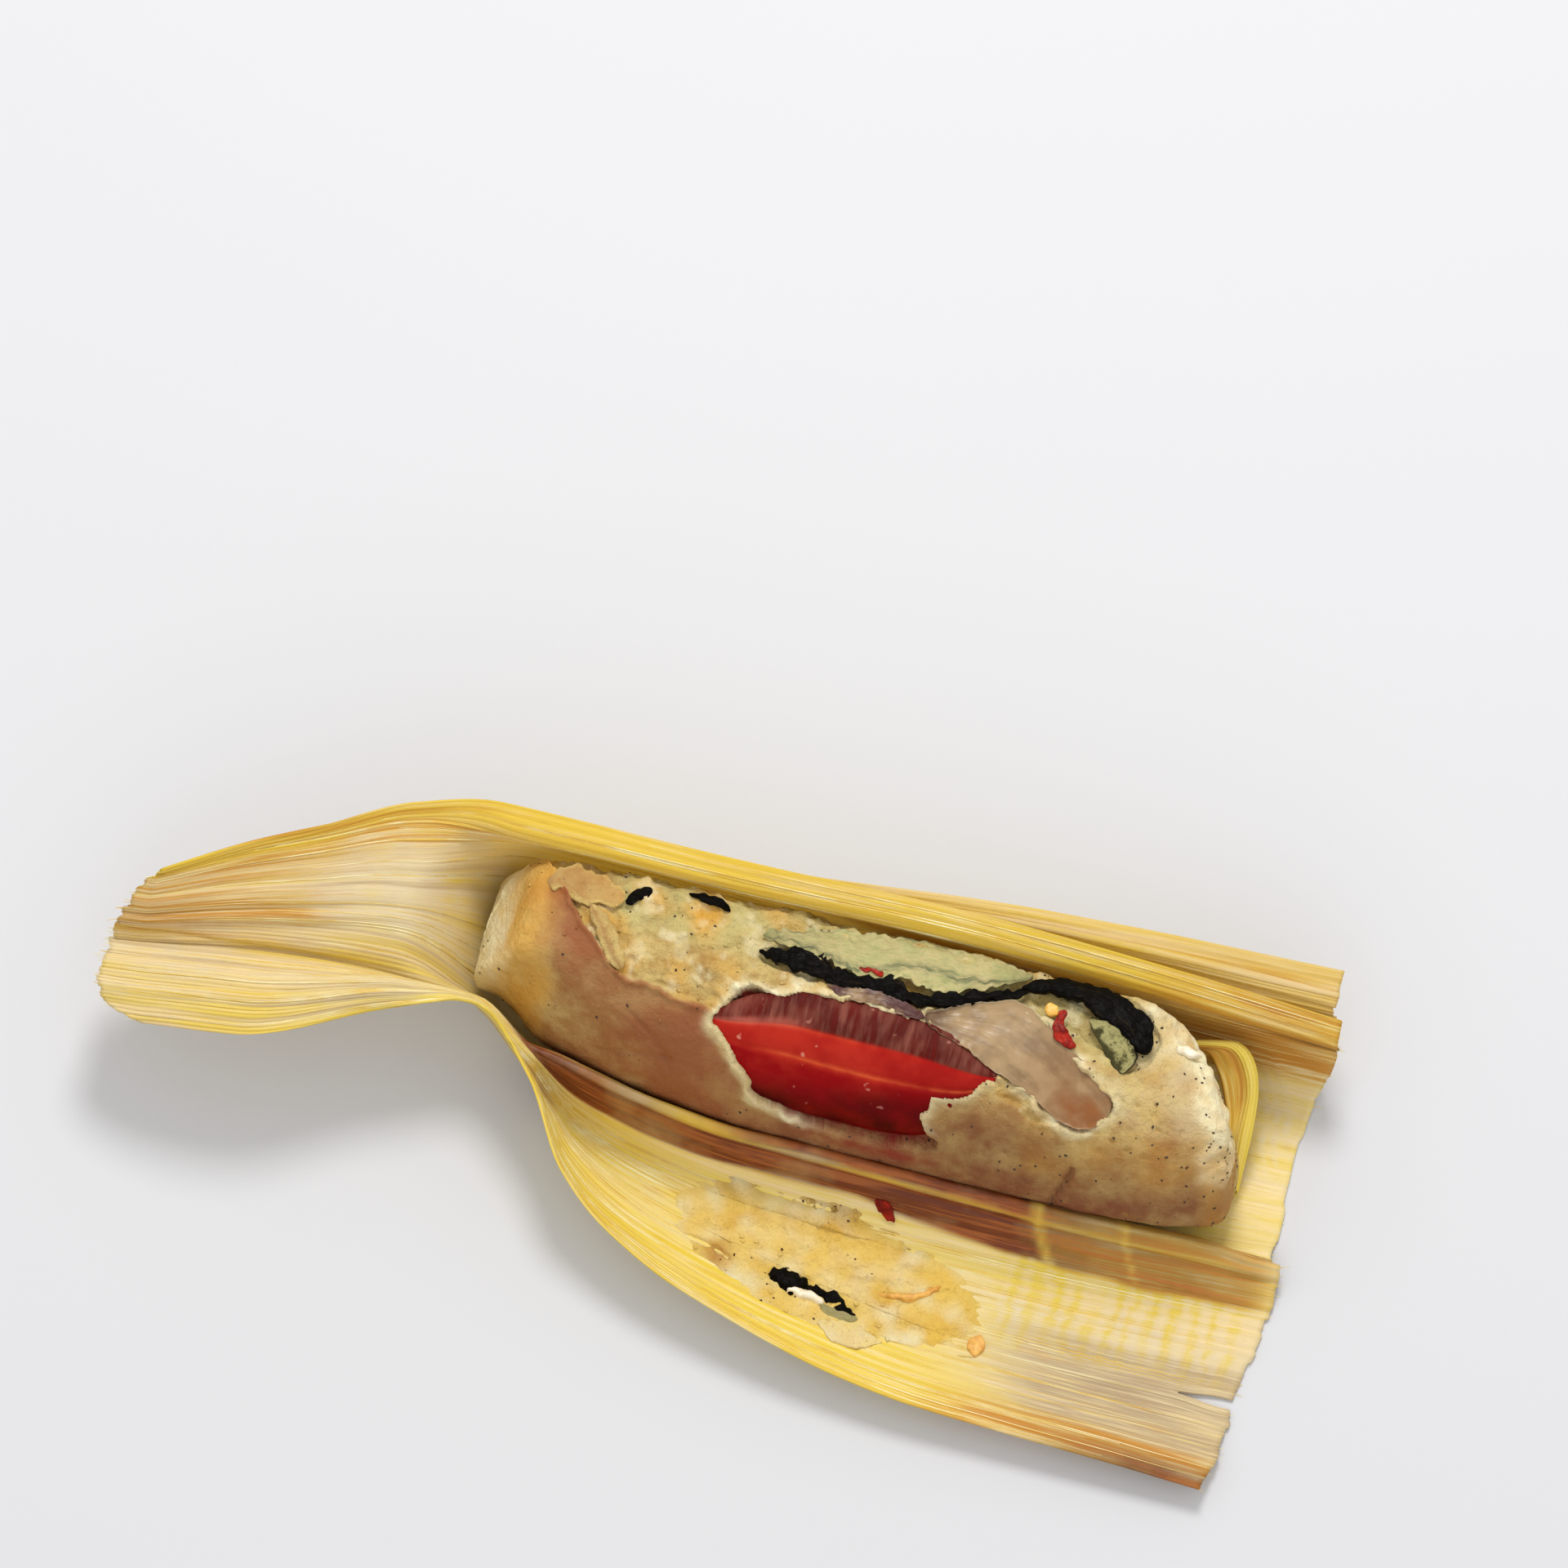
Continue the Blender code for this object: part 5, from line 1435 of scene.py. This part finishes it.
def make_stage():
    """A pale floor, soft studio light and the camera."""
    scene = bpy.context.scene
    azimuth, elevation = radians(CAMERA_AZIMUTH), radians(CAMERA_ELEVATION)
    level = np.cos(elevation)
    back = Vector((np.sin(azimuth) * level, -np.cos(azimuth) * level, np.sin(elevation)))
    lens = bpy.data.cameras.new("camera")
    lens.lens, lens.sensor_width = CAMERA_LENS, 36
    lens.clip_start, lens.clip_end = 0.05, 20
    camera = bpy.data.objects.new("camera", lens)
    scene.camera = aimed(camera, CAMERA_AIM + back * CAMERA_DISTANCE, CAMERA_AIM)

    floor_finish = Finish("pale floor")
    haze = floor_finish.noise(floor_finish.here(), 3)
    pale = floor_finish.mixed(haze + 0.5, linear(204, 205, 209), linear(201, 202, 206))
    floor_finish.end(pale, 0.8, haze, 0.0001)
    bpy.ops.mesh.primitive_plane_add(size=6)
    floor = bpy.context.object
    floor.name = "floor"
    floor.data.materials.append(floor_finish.material)

    disk_light("key", 0.36, KEY_POWER, (1.0, 0.985, 0.96), KEY_FROM * 1.2)
    disk_light("fill", 1.2, FILL_POWER, (1.0, 0.98, 0.96), Vector((0.2, -1.1, 1.0)))
    world = bpy.data.worlds.new("studio")
    scene.world = world
    world.use_nodes = True
    sky = world.node_tree.nodes["Background"]
    sky.inputs["Color"].default_value = (1.0, 0.99, 0.97, 1)
    sky.inputs["Strength"].default_value = SKY_STRENGTH
    scene.view_settings.view_transform = "Standard"


# --- Putting it together ----------------------------------------------------------------------------------


def place(piece, slot, *nodes):
    """The piece rides on the body and hides the solids it stands for; its slot is not used."""
    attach(piece, "root")
    if nodes:
        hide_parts(*nodes)


def lay(name, lines, finish, slot, seed, lift, sunk, *nodes, **more):
    """Makes a morsel and puts it in its place."""
    place(make_morsel(name, lines, finish, seed, lift, sunk, **more), slot, *nodes)


def make_husk_pieces(drawn):
    husk = husk_finish()
    leaf, grid = make_husk(husk)
    place(leaf, "husk", "husk")
    place(make_fibres(grid, vein_finish(), drawn), "husk")
    place(make_outer_leaf(husk), "husk", "husk_outer_leaf")
    place(make_end_curl(husk), "husk", "husk_curl")


def on_torn_top(points, normals):
    top = ease(normals[:, 2], 0.5, 0.8) * band(points[:, 0], -56, 26, 8)
    return top * ease(lumps(points, 6, 171), -0.2, 0.4)


def on_skin(points, _):
    x, z = points[:, 0], points[:, 2]
    along = 0.35 + 0.65 * ease(x, 0, 40) + ease(x, 57, 64)
    return ease(z, 5, 8) * along * ease(lumps(points, 9, 172), -0.5, 0.3)


def on_smear(points, normals):
    return ease(normals[:, 2], 0.6, 0.9) * ease(points[:, 2], 1.4, 2.0)


def make_masa_pieces(sown):
    """The masa, the masa stuck on the flap, and their crumbs and specks."""
    masa = masa_finish("masa", MASA_CREAM, MASA_SHADOW, MASA_GOLD)
    stuck = masa_finish("masa on the husk", SMEAR_CREAM, SMEAR_SHADOW, SMEAR_GOLD)
    speck = bit_finish("dark speck", linear(34, 24, 18), linear(70, 40, 24), 0.5)
    bar, smear = make_masa(masa), make_smear(stuck)
    place(bar, "masa", "masa")
    place(smear, "masa", "masa_smear")
    lay("masa_corner_flake", CORNER_SKIN, masa, "masa", 161, 0.35, 1.0, ragged=0.8,
        zones=lambda along, aside: {"skin": 0.5 * (1 - ease(np.abs(aside), 0.6, 0.9)), "gold": 0.3 * along})
    lay("masa_torn_curl", TORN_CURL, masa, "masa", 165, 0.7, 1.0, ragged=0.6, rough=0.35,
        zones=lambda along, aside: {"skin": 0.5 * bell(aside, -0.1, 0.3)})
    lay("masa_pale_disc", PALE_DISC, stuck, "masa", 169, 0.35, 0.5, ragged=0.4, rough=0.12, blunt=2.5,
        surface=flap_top, zones=lambda along, aside: {"white": 0.5, "skin": 0.5 * ease(-aside, 0.85, 0.98)})
    for name, base, where, finish, density, smallest, largest, flatness, facets, seed in (
        ("masa_crumbs", bar, on_torn_top, masa, 1.2e5, 0.4, 1.0, 0.9, 2, 3),
        ("masa_specks", bar, on_skin, speck, 8e4, 0.25, 0.75, 0.5, 1, 5),
        ("smear_crumbs", smear, on_smear, stuck, 1.2e5, 0.4, 1.2, 0.6, 2, 8),
        ("smear_specks", smear, on_smear, speck, 6e4, 0.25, 0.8, 0.5, 1, 9),
    ):
        sizes = {"Density": density, "Smallest": smallest, "Largest": largest, "Flatness": flatness}
        base = sown_base(name, base, where)
        place(sown.run(base, **sizes, Seed=seed, Facets=facets, Finish=finish), "masa")


def onion_zones(along, aside):
    """Pinkish towards the right end, most along the front, and mauve at the left end."""
    pink = 0.9 * ease(along, 0.5, 1) * (0.5 + 0.5 * ease(-aside, -0.6, 0.4))
    return {"pink": pink, "mauve": 0.5 * (1 - ease(along, 0, 0.2))}


def flesh_zones(along, aside):
    """A dark line that winds along the flesh."""
    return {"dark": bell(aside, -0.55 + 0.2 * np.cos(9 * along), 0.14)}


def make_vegetables():
    """The vegetables in the masa, and the scraps of them on the flap."""
    onion, skin, flesh = onion_finish(), pepper_skin_finish(), pepper_flesh_finish()
    dull = {"Specular IOR Level": 0.12}
    chilli = bit_finish("red chilli", linear(158, 34, 18), linear(104, 14, 8), 0.35, dull)
    corn = bit_finish("yellow bit", linear(232, 190, 92), linear(214, 160, 60), 0.4)
    flake = bit_finish("white flake", linear(238, 230, 208), linear(222, 206, 172), 0.6)
    amber = bit_finish("amber bit", linear(226, 176, 84), linear(206, 146, 58), 0.5)
    place(make_tomato(tomato_finish()), "tomato", "tomato")
    lay("onion_slice", ONION_SLICE, onion, "onion", 181, -0.85, 3.0, "onion", ragged=0.3, rough=0.22,
        blunt=12.0, zones=onion_zones)
    lay("onion_brown_strip", BROWN_STRIP, onion, "onion", 185, 0.0, 2.4, ragged=0.4, rough=0.2,
        zones=lambda along, aside: {"mauve": 1})
    lay("pepper_long_strip", LONG_STRIP, skin, "pepper_skin", 189, 0.1, 2.0, "pepper_long", ragged=1.0)
    lay("pepper_hook_strip", HOOK_STRIP, skin, "pepper_skin", 193, 0.5, 1.8, "pepper_hook",
        ragged=0.7, rough=0.25)
    lay("pepper_hook_inner", HOOK_INNER, skin, "pepper_skin", 197, 0.0, 1.4, rough=0.5,
        zones=lambda along, aside: {"inner": 1 - ease(aside, 0.7, 0.95), "edge": ease(-aside, 0.5, 0.8)})
    lay("pepper_flesh_strip", FLESH, flesh, "pepper_flesh", 201, -0.15, 1.8, "pepper_flesh",
        ragged=1.1, rough=0.6, zones=flesh_zones)
    for name, lines, finish, slot, lift, surface in (
        ("pepper_black_bit", BLACK_BIT, skin, "pepper_skin", 0.1, on_masa),
        ("pepper_dark_bit", DARK_BIT, skin, "pepper_skin", 0.0, on_masa),
        ("red_fleck", RED_FLECK, chilli, "tomato", 0.2, on_masa),
        ("chilli_bit", CHILLI_BIT, chilli, "tomato", 0.4, on_masa),
        ("yellow_bit", YELLOW_BIT, corn, "masa", 0.6, on_masa),
        ("white_flake", WHITE_FLAKE, flake, "masa", 0.7, on_masa),
        ("scrap_flesh", SCRAP_FLESH, flesh, "pepper_flesh", 0.8, flap_top),
        # The arc below is painted shadow of a small ledge
        ("amber_arc", LEDGE_SHADOW_ARC, amber, "masa", 1.1, flap_top),
        ("scrap_pale", SCRAP_PALE, flake, "masa", 1.3, flap_top),
        ("amber_spot", AMBER_SPOT, amber, "masa", 0.5, flap_top),
        ("red_scrap", RED_SCRAP, chilli, "tomato", 0.3, flap_top),
    ):
        lay(name, lines, finish, slot, 211 + len(name), lift, 0.9, surface=surface)
    lay("pepper_scrap_right", SCRAP_RIGHT, skin, "pepper_skin", 231, 0.9, 0.8, "pepper_scrap",
        ragged=1.1, rough=0.4, surface=flap_top)
    lay("pepper_scrap_left", SCRAP_LEFT, skin, "pepper_skin", 235, 1.0, 0.8,
        ragged=1.3, rough=0.4, surface=flap_top)


def main():
    make_stage()
    sown, drawn = sown_tree(), drawn_tree()
    make_husk_pieces(drawn)
    make_masa_pieces(sown)
    make_vegetables()


main()
